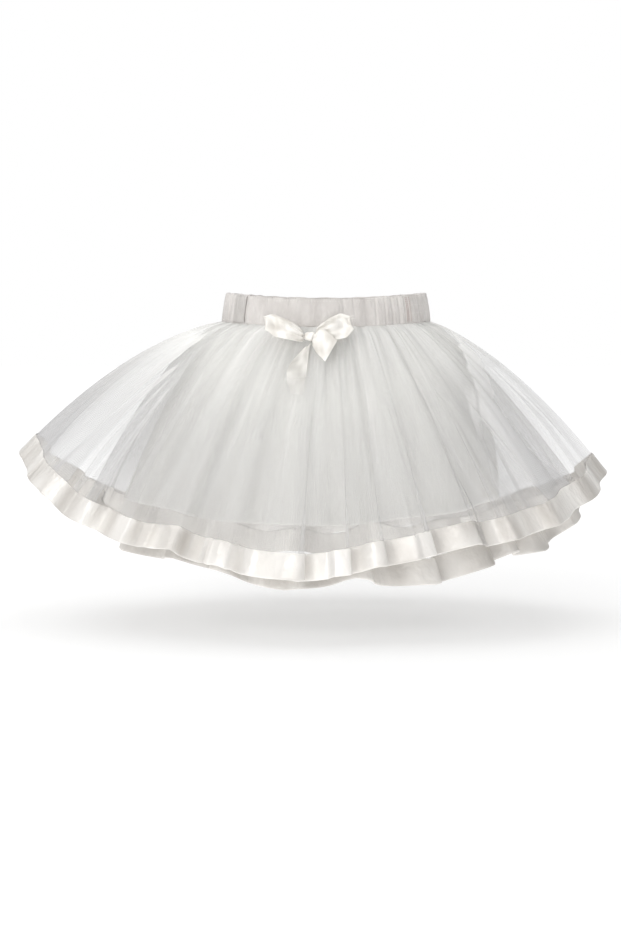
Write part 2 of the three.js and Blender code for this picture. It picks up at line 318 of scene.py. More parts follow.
class Shader:
    """A Principled material and the few nodes that drive it."""

    def __init__(self, name: str) -> None:
        """Starts a material with its one surface shader.

        Args:
            name: the material's name.
        """
        self.material = bpy.data.materials.new(name)
        self.material.use_nodes = True
        self.nodes = self.material.node_tree.nodes
        self.links = self.material.node_tree.links
        self.surface = self.nodes["Principled BSDF"]

    def set(self, **sockets: object) -> None:
        """Sets or links the surface's own sockets; an underscore stands for a space."""
        for name, value in sockets.items():
            self.give(self.surface.inputs[name.replace("_", " ")], value)

    def give(self, socket: bpy.types.NodeSocket, value: object) -> None:
        """Links an input to an output socket, or sets its number.

        Args:
            socket: the input.
            value: an output socket, a number, or numbers.
        """
        if isinstance(value, bpy.types.NodeSocket):
            self.links.new(value, socket)
        else:
            socket.default_value = value

    def add(self, kind: str, **sockets: object) -> bpy.types.Node:
        """Adds a node.

        Args:
            kind: its type, without the ShaderNode in front.
            sockets: what its inputs are given; an underscore stands for a space.

        Returns:
            The node.
        """
        node = self.nodes.new(f"ShaderNode{kind}")
        for name, value in sockets.items():
            self.give(node.inputs[name.replace("_", " ")], value)
        return node

    def cut_place(self, across: float, down: float) -> bpy.types.NodeSocket:
        """The place on the flat cut, scaled.

        Args:
            across: how many steps of the pattern a metre round the garment has.
            down: the same, from seam to hem.

        Returns:
            The place.
        """
        place = self.add("UVMap")
        place.uv_map = "cut"
        scale = (across, down, 1)
        return self.add("Mapping", Vector=place.outputs["UV"], Scale=scale).outputs["Vector"]

    def object_place(self, scale: tuple[float, float, float]) -> bpy.types.NodeSocket:
        """The place on the garment, scaled."""
        place = self.add("TexCoord").outputs["Object"]
        return self.add("Mapping", Vector=place, Scale=scale).outputs["Vector"]

    def distance(self, scale: tuple[float, float, float]) -> bpy.types.NodeSocket:
        """Distance from the origin, in metres.

        Args:
            scale: how much each direction counts.

        Returns:
            The distance.
        """
        node = self.add("VectorMath")
        node.operation = "LENGTH"
        self.give(node.inputs[0], self.object_place(scale))
        return node.outputs["Value"]

    def noise(self, place: bpy.types.NodeSocket, detail: float) -> bpy.types.NodeSocket:
        """Soft noise at a place, from 0 to 1."""
        return self.add("TexNoise", Vector=place, Scale=1.0, Detail=detail).outputs["Fac"]

    def cells(self, place: bpy.types.NodeSocket, uneven: float) -> bpy.types.NodeSocket:
        """Distance to the nearest thread of a net of cells, in cells.

        Args:
            place: where, in cells.
            uneven: 0 for even cells to 1 for uneven ones.

        Returns:
            The distance.
        """
        node = self.add("TexVoronoi", Vector=place, Scale=1.0, Randomness=uneven)
        node.voronoi_dimensions = "2D"
        node.feature = "DISTANCE_TO_EDGE"
        return node.outputs["Distance"]

    def waves(self, place: bpy.types.NodeSocket, direction: str) -> bpy.types.NodeSocket:
        """Even bands of threads, from 0 to 1.

        Args:
            place: where.
            direction: the axis that they follow one another along.

        Returns:
            The height of the threads.
        """
        node = self.add("TexWave", Vector=place, Scale=1.0, Distortion=0.0)
        node.wave_type = "BANDS"
        node.bands_direction = direction
        return node.outputs["Fac"]

    def attribute(self, name: str) -> bpy.types.NodeSocket:
        """A number kept on the piece's points.

        Args:
            name: the number's name.

        Returns:
            Its value.
        """
        node = self.add("Attribute")
        node.attribute_name = name
        return node.outputs["Fac"]

    def math(self, kind: str, a: object, b: object) -> bpy.types.NodeSocket:
        """One sum.

        Args:
            kind: what is done with the two.
            a: the first number or socket.
            b: the second number or socket.

        Returns:
            The result.
        """
        node = self.add("Math")
        node.operation = kind
        self.give(node.inputs[0], a)
        self.give(node.inputs[1], b)
        return node.outputs["Value"]

    def span(
        self, value: bpy.types.NodeSocket, low: tuple[float, float], high: tuple[float, float]
    ) -> bpy.types.NodeSocket:
        """A value carried smoothly from one span to another and kept inside it.

        Args:
            value: the value.
            low: the span that it comes from.
            high: the span that it goes to.

        Returns:
            The value in its new span.
        """
        (a, b), (c, d) = low, high
        node = self.add("MapRange", Value=value, From_Min=a, From_Max=b, To_Min=c, To_Max=d)
        node.interpolation_type = "SMOOTHSTEP"
        return node.outputs["Result"]

    def tint(
        self, value: bpy.types.NodeSocket, first: float, shade: Colour, last: float, light: Colour
    ) -> None:
        """Colours the surface by a value.

        Args:
            value: the value.
            first: the value where the colour begins to turn.
            shade: the colour up to there.
            last: the value where it has turned.
            light: the colour from there.
        """
        node = self.add("ValToRGB", Fac=value)
        for element, place, colour in zip(node.color_ramp.elements, (first, last), (shade, light)):
            element.position = place
            element.color = (*colour, 1.0)
        self.set(Base_Color=node.outputs["Color"])

    def bump(
        self, height: bpy.types.NodeSocket, depth: float, under: bpy.types.NodeSocket | None = None
    ) -> bpy.types.NodeSocket:
        """Raises the surface.

        Args:
            height: how high, from 0 to 1.
            depth: what 1 is, in metres.
            under: another bump that lies under it.

        Returns:
            The way out of the raised surface.
        """
        node = self.add("Bump", Height=height, Distance=depth, Strength=1.0)
        if under is not None:
            self.give(node.inputs["Normal"], under)
        return node.outputs["Normal"]


@dataclass(frozen=True)
class Tulle:
    """Soft nylon net: see-through where it lies single, whiter where it is gathered, with painted
    shade at its sides and painted light down its front and back.

    threads and holes are how much its threads hide and how much shows in between as haze, and most
    is the most that it hides.
    """

    name: str
    thin: Colour = (0.50, 0.495, 0.50)
    thick: Colour = (0.85, 0.845, 0.825)
    pitch: float = 0.0016
    uneven: float = 0.7
    threads: float = 0.62
    holes: float = 0.77
    most: float = 0.97

    def material(self) -> bpy.types.Material:
        """Makes it from the packing and the gathering kept on the net's points.

        Returns:
            The material.
        """
        shader = Shader(self.name)
        fine = shader.noise(shader.cut_place(600, 5), detail=2)
        streaks = shader.span(fine, (0.3, 0.7), (0.95, 1.06))
        density = shader.math("MULTIPLY", shader.attribute("packing"), streaks)
        net = shader.cells(shader.cut_place(1 / self.pitch, 1 / self.pitch), self.uneven)
        thread = shader.span(net, (0.04, 0.16), (self.threads, 0.0))
        cover = shader.math("ADD", thread, self.holes)
        alpha = shader.math("MINIMUM", shader.math("MULTIPLY", density, cover), self.most)
        # The colour follows the gathered value: whiter where the net is gathered, with painted
        # shade at the left and right sides and painted light down the front and back.
        shader.tint(shader.attribute("gathered"), 0.0, self.thin, 0.55, self.thick)
        shader.set(
            Alpha=alpha,
            Roughness=0.62,
            Specular_IOR_Level=0.35,
            Sheen_Weight=0.05,
            Sheen_Roughness=0.4,
        )
        return shader.material


@dataclass(frozen=True)
class Satin:
    """Polyester satin ribbon: a low, long gloss along its floats and a fine rib across.

    Its tint is painted light and shade: cloud is how many soft patches of a painted lit and a
    painted shaded colour a metre has, standing for the shading of the ribbon's waves. soft, small
    and rib are the heights of its waviness, its fine crumple and its rib, in metres.
    """

    name: str
    light: Colour = (0.87, 0.848, 0.815)
    shade: Colour = (0.60, 0.572, 0.538)
    roughness: float = 0.36
    metal: float = 0.12
    # How many patches of painted light and shade a metre has, round and down.
    shading_patches: tuple[float, float] = (26.0, 8.0)
    soft: float = 0.0022
    small: float = 0.0012
    rib: float = 0.000004
    sheer: bool = False

    def material(self) -> bpy.types.Material:
        """Makes the material.

        Returns:
            The material.
        """
        shader = Shader(self.name)
        # Painted light and shade: soft patches between the lit and the shaded colour stand for the
        # shading of the ribbon's waves.
        painted_shading = shader.noise(shader.cut_place(*self.shading_patches), detail=1)
        shader.tint(painted_shading, 0.36, self.shade, 0.6, self.light)
        wear = shader.noise(shader.cut_place(120, 40), detail=2)
        soft = shader.bump(shader.noise(shader.cut_place(70, 30), detail=2), self.soft)
        small = shader.bump(shader.noise(shader.cut_place(170, 90), detail=2), self.small, soft)
        rib = shader.waves(shader.cut_place(260, 0), "X")
        shader.set(
            Roughness=shader.span(
                wear, (0.3, 0.7), (self.roughness - 0.04, self.roughness + 0.06)
            ),
            Normal=shader.bump(rib, self.rib, small),
            Metallic=self.metal,
            Specular_IOR_Level=0.5,
            Sheen_Weight=0.15,
            Sheen_Roughness=0.3,
        )
        if self.sheer:
            shader.set(Alpha=shader.attribute("cover"))
        return shader.material


@dataclass(frozen=True)
class Woven:
    """Plain woven cloth: two crossing sets of threads, matt, tinted in soft patches of painted
    shade that stand for its crumples.
    """

    name: str
    light: Colour
    shade: Colour
    pitch: float
    roughness: float
    sheen: float = 0.3
    weave: float = 0.00006
    crumple: float = 0.0026

    def material(self) -> bpy.types.Material:
        """Makes the material.

        Returns:
            The material.
        """
        shader = Shader(self.name)
        # Painted shade: soft patches of the darker colour stand for the shading of the cloth's
        # crumples.
        painted_shading = shader.noise(shader.cut_place(70, 25), detail=4)
        shader.tint(painted_shading, 0.3, self.shade, 0.7, self.light)
        place = shader.cut_place(0.16 / self.pitch, 0.16 / self.pitch)
        threads = shader.math("ADD", shader.waves(place, "X"), shader.waves(place, "Y"))
        crumple = shader.bump(shader.noise(shader.cut_place(170, 45), detail=3), self.crumple)
        shader.set(
            Normal=shader.bump(threads, self.weave, crumple),
            Roughness=self.roughness,
            Specular_IOR_Level=0.3,
            Sheen_Weight=self.sheen,
            Sheen_Roughness=0.5,
        )
        return shader.material


@dataclass(frozen=True)
class Thread:
    """Sewing thread with a slight twist."""

    name: str
    colour: Colour

    def material(self) -> bpy.types.Material:
        """Makes the material.

        Returns:
            The material.
        """
        shader = Shader(self.name)
        twist = shader.noise(shader.object_place((2500, 2500, 2500)), detail=1)
        dark = tuple(0.86 * value for value in self.colour)
        shader.tint(twist, 0.35, dark, 0.65, self.colour)
        shader.set(Roughness=0.55, Sheen_Weight=0.3)
        return shader.material


class Wardrobe:
    """The materials, made once each and handed out by name."""

    finishes = (
        Tulle("outer_net"),
        Tulle("under_net", thin=(0.58, 0.57, 0.57), pitch=0.0011),
        Satin("hem_satin"),
        # The under skirt's ribbon is the same satin painted darker: painted shade, as it lies under
        # the outer skirt.
        Satin("shaded_under_hem_satin", light=(0.78, 0.755, 0.72), shade=(0.52, 0.495, 0.465)),
        Satin("bow_satin", light=(0.93, 0.91, 0.87), shade=(0.70, 0.67, 0.62), shading_patches=(70.0, 60.0)),
        Satin(
            "tail_satin",
            light=(0.94, 0.92, 0.88),
            shade=(0.70, 0.68, 0.64),
            shading_patches=(60.0, 90.0),
            sheer=True,
        ),
        Woven("casing_cloth", (0.73, 0.703, 0.677), (0.55, 0.52, 0.50), 0.0006, 0.55),
        # The ribbed strip's cloth: the casing's cloth painted grey, as painted shade in the
        # gathered join.
        Woven("shaded_patch_cloth", (0.62, 0.60, 0.58), (0.48, 0.46, 0.44), 0.0005, 0.6),
        Woven("lining_cloth", (0.84, 0.835, 0.81), (0.81, 0.80, 0.775), 0.0005, 0.5),
        Thread("white_thread", (0.90, 0.88, 0.85)),
        Thread("grey_thread", (0.30, 0.27, 0.25)),
        Thread("rose_thread", (0.36, 0.22, 0.20)),
    )

    def __init__(self) -> None:
        """Makes every finish."""
        self.made = {finish.name: finish.material() for finish in self.finishes}

    def dress(self, piece: bpy.types.Object, finish: str) -> bpy.types.Object:
        """Gives a piece its material and the body it rides on.

        Args:
            piece: the piece.
            finish: the material's name.

        Returns:
            The same piece.
        """
        piece.data.materials.clear()
        piece.data.materials.append(self.made[finish])
        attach(piece, BODY)
        return piece


# ---------- Stitches ----------


@dataclass(frozen=True)
class Stitching:
    """A run of small stitches, each a slim raised lozenge along its seam. Millimetres.

    pitch is the distance from stitch to stitch, and look how far to both sides a stitch looks for
    the seam's direction.
    """

    length: float = 1.9
    width: float = 0.4
    height: float = 0.16
    pitch: float = 3.4
    look: float = 0.3

    def sew(self, name: str, lines: Sequence[tuple[Array, Array]]) -> bpy.types.Object:
        """Sews along lines.

        Args:
            name: the piece's name.
            lines: for each seam, its points and the way out of the cloth at each.

        Returns:
            One mesh with every stitch in it.
        """
        parts = [self.run(points, normals) for points, normals in lines]
        corners = np.concatenate(parts)
        pattern = np.array(
            [(0, 2, 4), (2, 1, 4), (1, 3, 4), (3, 0, 4), (2, 0, 5), (1, 2, 5), (3, 1, 5), (0, 3, 5)]
        )
        starts = np.arange(len(corners)) * 6
        faces = (starts[:, None, None] + pattern[None]).reshape(-1, 3)
        mesh = bpy.data.meshes.new(name)
        mesh.from_pydata((corners.reshape(-1, 3) * MM).tolist(), [], faces.tolist())
        mesh.update()
        return add_object(name, mesh)

    def run(self, points: Array, normals: Array) -> Array:
        """The corners of one seam's stitches.

        Args:
            points: the seam's line.
            normals: the way out of the cloth at each point.

        Returns:
            Six corners for each stitch.
        """
        reached = along(points)
        places = np.arange(self.pitch / 2, reached[-1], self.pitch)
        looks = ((points, 0), (points, self.look), (points, -self.look), (normals, 0))
        middle, ahead, behind, out = (
            np.stack([np.interp(places + shift, reached, rows[:, k]) for k in range(3)], 1)
            for rows, shift in looks
        )
        out = unit(out)
        forward = ahead - behind
        forward /= np.maximum(np.linalg.norm(forward, axis=1, keepdims=True), 1e-9)
        side = np.cross(out, forward)
        sink = middle - out * THREAD_LIFT
        ends = forward * self.length / 2
        edges = side * self.width / 2
        tops = out * self.height
        corners = [sink - ends, sink + ends, sink + edges, sink - edges, sink + tops, sink - tops]
        return np.stack(corners, axis=1)


# ---------- The waistband's line, which everything hangs from ----------


@dataclass(frozen=True)
class BandLine:
    """The waistband's oval and the height of its middle line."""

    half_width: float = 104.0
    half_depth: float = 76.0
    height: float = 27.5
    wall: float = 3.4
    flare: float = 4.5
    side_middle: float = 1.8
    dip: float = 4.6
    seam_gap: float = 0.3

    def middle(self, angle: Array) -> Array:
        """Height of the band's middle line at an angle in radians."""
        return self.side_middle - self.dip * np.sin(angle) ** 2

    def seam(self, angle: Array) -> Array:
        """Height of the seam under the band."""
        return self.middle(angle) - self.height / 2 - self.seam_gap

    def out(self, angle: Array) -> Array:
        """The level way out of the band at each angle in radians."""
        across, deep = np.cos(angle) / self.half_width, np.sin(angle) / self.half_depth
        return unit(np.stack([across, deep, np.zeros_like(angle)], axis=-1))

    def point(self, angle: Array, level: Array, depth: Array) -> Array:
        """A point of the band.

        Args:
            angle: in radians.
            level: 1 at the top edge and -1 at the bottom.
            depth: how far in from the outer face.

        Returns:
            The points, with a last axis of 3.
        """
        inwards = depth + self.flare * (level + 1) / 2
        return np.stack(
            [
                (self.half_width - inwards) * np.cos(angle),
                (self.half_depth - inwards) * np.sin(angle),
                self.middle(angle) + level * self.height / 2,
            ],
            axis=-1,
        )


BAND = BandLine()


# ---------- Skirts ----------


@dataclass(frozen=True)
class Hem:
    """The hem's oval, its heights and how squarely it comes down from the sides."""

    centre: float
    half_width: float
    half_depth: float
    side: float
    front: float
    tilt: float
    square: float


@dataclass(frozen=True)
class Bend:
    """Where the cloth turns between seam and hem, as shares of its reach and its fall."""

    right: tuple[float, float]
    left: tuple[float, float]
    front: tuple[float, float]


@dataclass(frozen=True)
class Gathers:
    """Small folds that start at the seam and run out further down."""

    count: int
    depth: float
    until: float
    power: float
    seed: int


@dataclass(frozen=True)
class Crease:
    """A sharp fold that opens like a wedge from its upper end to the hem.

    at and lean are degrees at the hem, top is where it starts between seam and hem, spread is half
    its width at the hem in degrees, and height is how far it stands out, or falls back if negative.
    skew moves its ridge towards one side, up to 1 where it laps over. hem is the share of its
    height that is left in the stiffer ribbon.
    """

    at: float
    top: float
    spread: float
    height: float
    lean: float = 0.0
    skew: float = 0.0
    hem: float = 0.35


@dataclass(frozen=True)
class Lap:
    """A wedge where the net lies double.

    edges: how far down, from 0 to 1, and the degrees where the wedge starts and stops there; cover
    is how much more the doubled net hides.
    """

    edges: tuple[tuple[float, float, float], ...]
    cover: float

    @classmethod
    def wedge(cls, top: float, at: float, first: float, last: float, cover: float) -> "Lap":
        """A lap that begins as a point, 0.4 degrees wide, and opens to the hem."""
        return cls(((top, at - 0.2, at + 0.2), (1, first, last)), cover)


@dataclass(frozen=True)
class HungSkirt:
    """A layer that hangs from its own oval under the waistband."""

    inset: float
    hem: Hem
    bend: Bend
    tuck: float

    def hang(self, angle: Array) -> tuple[Array, Array, Array, Array]:
        """The lines that the layer hangs along.

        Args:
            angle: in radians, for each point.

        Returns:
            Its seam, the point it turns by, its hem and the level way out.
        """
        across, deep = np.cos(angle), np.sin(angle)
        seam = np.stack(
            [
                (BAND.half_width - self.inset) * across,
                (BAND.half_depth - self.inset) * deep,
                BAND.seam(angle) + self.tuck,
            ],
            axis=-1,
        )
        hem = self.hem
        fall = mix(hem.side - hem.tilt * across, hem.front, np.abs(deep) ** hem.square)
        edge = np.stack(
            [hem.centre + hem.half_width * across, hem.half_depth * deep, fall], axis=-1
        )
        front = deep**2
        side_out = np.where(across > 0, self.bend.right[0], self.bend.left[0])
        side_fall = np.where(across > 0, self.bend.right[1], self.bend.left[1])
        out = mix(side_out, self.bend.front[0], front)[..., None]
        down = mix(side_fall, self.bend.front[1], front)[..., None]
        share = np.concatenate([out, out, down], axis=-1)
        turn = mix(seam, edge, share)
        return seam, turn, edge, unit((edge - seam) * np.array([1.0, 1.0, 0.0]))

    @staticmethod
    def curve(seam: Array, turn: Array, edge: Array, t: Array) -> Array:
        """A point of the smooth fall, t from 0 at the seam to 1 at the hem."""
        t = t[..., None]
        return (1 - t) ** 2 * seam + 2 * (1 - t) * t * turn + t**2 * edge


@dataclass(frozen=True)
class TulleSkirt(HungSkirt):
    """A gathered net skirt.

    folds has the degrees, depth, lean and drop of each fold round the hem. streaks has the number
    round the hem, the strength and the slant of the net's uneven packing, and whether it fades out
    downwards. open_net and packed_net are how much the net hides below and at the seam.
    """

    folds: tuple[FoldRow, ...]
    gather_depth: float
    gathers: tuple[Gathers, ...]
    creases: tuple[Crease, ...]
    laps: tuple[Lap, ...]
    seed: int
    upright: float = 0.07
    growth: float = 1.3
    crest_lift: float = 0.3
    fullness: float = 2.0
    gather_uneven: float = 0.8
    gather_sway: float = 0.25
    gather_floor: float = 0.4
    gather_reach: float = 0.35
    gather_depths: tuple[float, float] = (0.7, 0.4)
    crease_point: float = 0.12
    crease_rise: float = 1.6
    ribbon_zone: tuple[float, float] = (0.7, 0.22)
    streaks: tuple[tuple[int, float, float, int], ...] = (
        (260, 0.2, 0.004, 1),
        (110, 0.35, -0.006, 0),
        (46, 0.5, 0.0, 0),
    )
    streakiness: float = 0.6
    open_net: float = 0.25
    packed_net: float = 0.6
    packing_fade: float = 1.7
    lap_waver: float = 0.7
    lap_soft: float = 0.45
    lap_rim: tuple[float, float] = (0.4, 0.45)
    lap_begin: float = 0.12

    def fold_at(self, turn: Array) -> tuple[Array, Array, Array, Array, Array]:
        """The folds on both sides of each place, mixed.

        Args:
            turn: share of a turn, for each point.

        Returns:
            The share of the way between the two folds, the angle, and their depth, lean and drop.
        """
        table = np.array(self.folds)
        count = len(table)
        at = np.concatenate([table[:, 0], [table[0, 0] + 360]])
        u = np.interp(np.mod(turn, 1.0) * 360, at, np.arange(count + 1))
        whole = np.minimum(np.floor(u).astype(int), count - 1)
        share = u - whole
        here, after = table[whole], table[(whole + 1) % count]
        angle = np.radians(np.mod(turn, 1.0) * 360)
        mixed = mix(here[..., 1:], after[..., 1:], share[..., None])
        return share, angle, mixed[..., 0], mixed[..., 1], mixed[..., 2]

    def surface(self, turn: Array, t: Array, fine: bool = True) -> Array:
        """Points of the skirt's outer face.

        Args:
            turn: share of a turn round the waist, for each point.
            t: 0 at the seam to 1 at the hem, for each point.
            fine: whether the small gathers and creases are on it.

        Returns:
            The points in millimetres, with a last axis of 3.
        """
        share, angle, depth, lean, drop = self.fold_at(turn)
        seam, bend, edge, away = self.hang(angle)
        around = np.stack([-away[..., 1], away[..., 0], np.zeros_like(angle)], axis=-1)
        wave = np.cos(2 * np.pi * share)
        gather = np.cos(4 * np.pi * share) * self.gather_depth
        pinch = np.minimum(1.0, t / self.upright) * (1 - t) ** 2
        swing = depth * wave * t**self.growth + gather * pinch
        slide = (self.fullness * np.sin(4 * np.pi * share) + lean * wave) * t**2
        if fine:
            swing = swing + self.small_gathers(turn, t) + self.sharp_creases(turn, t)
        rise = (self.crest_lift * depth * wave - drop) * t**2
        return (
            self.curve(seam, bend, edge, t)
            + away * swing[..., None]
            + around * slide[..., None]
            + np.stack([np.zeros_like(rise), np.zeros_like(rise), rise], axis=-1)
        )

    def small_gathers(self, turn: Array, t: Array) -> Array:
        """How far the small folds stand out.

        Args:
            turn: share of a turn, for each point.
            t: 0 at the seam to 1 at the hem, for each point.

        Returns:
            Millimetres for each point.
        """
        total = np.zeros_like(t)
        least, more = self.gather_depths
        for fold in self.gathers:
            uneven = Wander(fold.count // 3, fold.seed)
            deep = Wander(fold.count // 2, fold.seed + 1)
            reach = Wander(fold.count, fold.seed + 2)
            sway = self.gather_sway * np.sin(2 * np.pi * 3 * turn)
            phase = fold.count * turn + self.gather_uneven * uneven(turn) + sway
            puff = 2 * np.abs(np.cos(np.pi * phase)) - self.gather_floor
            until = fold.until * (1 + self.gather_reach * reach(turn))
            fade = np.clip(1 - t / until, 0, 1) ** fold.power
            start = smooth(t / self.upright)
            total += fold.depth * (least + more * deep(turn)) * puff * fade * start
        return total

    def sharp_creases(self, turn: Array, t: Array) -> Array:
        """How far the wedge-shaped folds stand out.

        Args:
            turn: share of a turn, for each point.
            t: 0 at the seam to 1 at the hem, for each point.

        Returns:
            Millimetres for each point.
        """
        total = np.zeros_like(t)
        degrees = np.mod(turn, 1.0) * 360
        begin, reach = self.ribbon_zone
        for crease in self.creases:
            grown = np.clip((t - crease.top) / (1 - crease.top), 0, 1)
            centre = crease.at - crease.lean * (1 - t)
            away = off_centre(degrees, centre)
            width = crease.spread * mix(self.crease_point, 1.0, grown)
            width = width * np.where(away < 0, 1 + crease.skew, 1 - crease.skew)
            tent = np.clip(1 - np.abs(away) / width, 0, 1)
            kept = mix(1.0, crease.hem, smooth((t - begin) / reach))
            total += crease.height * smooth(grown * self.crease_rise) * tent * kept
        return total

    def density(self, turn: Array, t: Array) -> Array:
        """How much each ply hides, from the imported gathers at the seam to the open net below.

        Args:
            turn: share of a turn, for each point.
            t: 0 at the seam to 1 at the hem, for each point.

        Returns:
            A share for each point, from 0.05 to 0.95.
        """
        uneven = sum(
            strength * Wander(count, self.seed + k)(turn + slant * t) * (1 - t) ** fades
            for k, (count, strength, slant, fades) in enumerate(self.streaks)
        )
        packed = mix(self.open_net, self.packed_net, (1 - t) ** self.packing_fade)
        more = self.streakiness * uneven + self.doubled(turn, t)
        return np.clip(packed * (1 + more), 0.05, 0.95)

    def doubled(self, turn: Array, t: Array) -> Array:
        """How much more the net hides where it laps over itself, most along the folded edges.

        Args:
            turn: share of a turn, for each point.
            t: 0 at the seam to 1 at the hem, for each point.

        Returns:
            The addition for each point, as a share.
        """
        total = np.zeros_like(t)
        waver = self.lap_waver * Wander(31, self.seed + 3)(turn + 0.1 * t)
        degrees = np.mod(turn, 1.0) * 360 + waver
        rim_width, rim_cover = self.lap_rim
        for lap in self.laps:
            level, first, last = np.array(lap.edges).T
            first, last = np.interp(t, level, first), np.interp(t, level, last)
            middle, half = (first + last) / 2, (last - first) / 2
            away = np.abs(off_centre(degrees, middle))
            inside = smooth((half - away) / self.lap_soft + 0.5)
            rim = bell((away - half) / rim_width)
            begin = smooth((t - level[0]) / self.lap_begin)
            total += begin * lap.cover * (inside + rim_cover * rim)
        return total

    def ribbon_share(self, turn: Array, length: float) -> Array:
        """How much of t some cloth takes up at the hem.

        Args:
            turn: share of a turn, for each point.
            length: of the cloth, in millimetres.

        Returns:
            A share for each point.
        """
        _, angle, _, _, _ = self.fold_at(turn)
        _, bend, edge, _ = self.hang(angle)
        return length / (2 * np.linalg.norm(edge - bend, axis=-1))


OUTER = TulleSkirt(
    inset=0.8,
    tuck=1.1,
    hem=Hem(-13, 290, 163, -151, -241, 12, 1.3),
    bend=Bend(right=(0.5, 0.24), left=(0.49, 0.18), front=(0.42, 0.34)),
    folds=(
        (0, 4, 2, 0),
        (19, 5, -3, 10),
        (36, 11, 10, 12),
        (52, 10, -6, 6),
        (68, 12, 12, 6),
        (83, 10, -3, 5),
        (99, 13, 11, 6),
        (114, 10, -8, 2),
        (130, 11, 5, 11),
        (146, 9, -4, 13),
        (163, 6, 2, 9),
        (182, 3, -2, 2),
        (203, 2.5, 2, 3),
        (219, 3.5, 3, 4),
        (231, 5.5, 11, 2),
        (242, 9, 13, -5),
        (252, 8, 3, 0),
        (265, 9, 17, 8),
        (275, 6, 6, 3),
        (281, 8, 4, -3),
        (290, 8, 8, -6),
        (300, 8, 3, -8),
        (311, 7, -8, -1),
        (324, 4, -4, 1),
        (341, 3, 3, 0),
    ),
    gather_depth=1.2,
    gathers=(
        Gathers(132, 0.6, 0.35, 1.3, 11),
        Gathers(58, 1.5, 1.0, 1.2, 21),
        Gathers(41, 1.6, 1.3, 1.0, 31),
    ),
    creases=(
        Crease(196, 0.45, 4.0, 3.5, 2, hem=0.5),
        Crease(204, 0.4, 4.0, -6.0, -4, hem=0.4),
        Crease(213, 0.5, 4.0, 6.0, -6, hem=0.4),
        Crease(224, 0.45, 4.5, -6.0, -5, 0.5),
        Crease(236.5, 0.72, 3.5, 5.0, 0, 0.92, hem=1.0),
        Crease(242, 0.75, 2.0, -3.0, hem=1.0),
        Crease(249, 0.75, 3.0, 4.5, 0, 0.9, hem=1.0),
        Crease(251.6, 0.8, 1.1, 4.5, 0, 0.6, hem=1.0),
        Crease(254.2, 0.8, 1.0, 4.0, 0, 0.6, hem=1.0),
        Crease(260, 0.35, 3.0, -4.0, 1),
        Crease(272.9, 0.7, 4.0, 7.0, 0, 0.94, hem=1.0),
        Crease(277.0, 0.8, 1.0, 3.0, hem=0.9),
        Crease(282.2, 0.72, 3.0, 4.5, 0, 0.88, hem=1.0),
        Crease(288.6, 0.7, 3.0, 4.5, 0, 0.85, hem=1.0),
        Crease(296, 0.35, 3.0, -4.0, 2),
        Crease(303, 0.7, 5.0, 6.5, 0, -0.93, hem=1.0),
        Crease(313, 0.4, 3.5, -6.0, 6, hem=0.2),
        Crease(322, 0.35, 4.0, 6.0, 8, 0.4, hem=0.5),
        Crease(333, 0.3, 4.5, -6.5, 8, hem=0.4),
        Crease(345, 0.25, 4.5, 5.0, 5, -0.5, hem=0.2),
        Crease(10, 0.35, 4.0, 4.5, -2),
        Crease(27, 0.3, 4.0, -5.0, 2),
        Crease(44, 0.65, 4.5, 4.5, -1, 0.8, hem=0.9),
        Crease(61, 0.3, 3.0, -4.5, 1),
        Crease(76, 0.7, 3.5, 4.0, 0, -0.8, hem=1.0),
        Crease(80, 0.8, 1.2, 2.5, hem=0.9),
        Crease(92, 0.35, 3.0, -4.0, -2),
        Crease(107, 0.7, 4.5, 4.5, 1, 0.85, hem=1.0),
        Crease(123, 0.3, 4.0, -5.0, -2),
        Crease(139, 0.4, 3.5, 4.5, 3),
        Crease(143, 0.8, 1.1, 2.5, hem=1.0),
        Crease(156, 0.3, 4.0, -5.0, -1),
        Crease(172, 0.45, 4.0, 4.5, 2, hem=0.2),
        Crease(187, 0.35, 4.0, -4.0, -3, hem=0.1),
    ),
    laps=(
        Lap(((0.1, 172, 206), (0.3, 170, 210), (1, 168, 204)), 1.25),
        Lap.wedge(0.3, 214, 202, 208.5, 1.3),
        Lap.wedge(0.36, 217, 212, 215, 0.9),
        Lap.wedge(0.4, 219, 218.5, 221.5, 1.0),
        Lap.wedge(0.3, 226, 229, 232, 0.3),
        Lap.wedge(0.35, 247, 243, 246, 0.25),
        Lap.wedge(0.3, 262, 259, 262, 0.25),
        Lap.wedge(0.3, 285, 283, 286, 0.25),
        Lap.wedge(0.25, 303, 305, 309, 0.3),
        Lap(
            (
                (0.1, 349.5, 351.5),
                (0.25, 335, 344.5),
                (0.4, 326, 335.5),
                (0.57, 319, 327.5),
                (0.75, 320, 330.5),
                (0.95, 325, 336.5),
            ),
            1.5,
        ),
        Lap(((0.4, 321, 324), (0.6, 315.5, 317), (0.8, 312.5, 314.5), (1, 312, 318)), 0.8),
        Lap.wedge(0.3, 345, 339, 341, 0.15),
        Lap.wedge(0.25, 352, 350, 353, 0.15),
        Lap.wedge(0.3, 14, 8, 14, 0.6),
        Lap.wedge(0.25, 40, 33, 44, 0.5),
        Lap.wedge(0.3, 66, 63, 67, 0.4),
        Lap.wedge(0.2, 90, 94, 104, 0.5),
        Lap.wedge(0.3, 120, 118, 122, 0.4),
        Lap.wedge(0.25, 140, 133, 146, 0.5),
        Lap.wedge(0.3, 165, 164, 168, 0.9),
        Lap.wedge(0.35, 184, 183, 186, 0.8),
        Lap.wedge(0.35, 196, 191, 195, 1.0),
    ),
    seed=101,
)

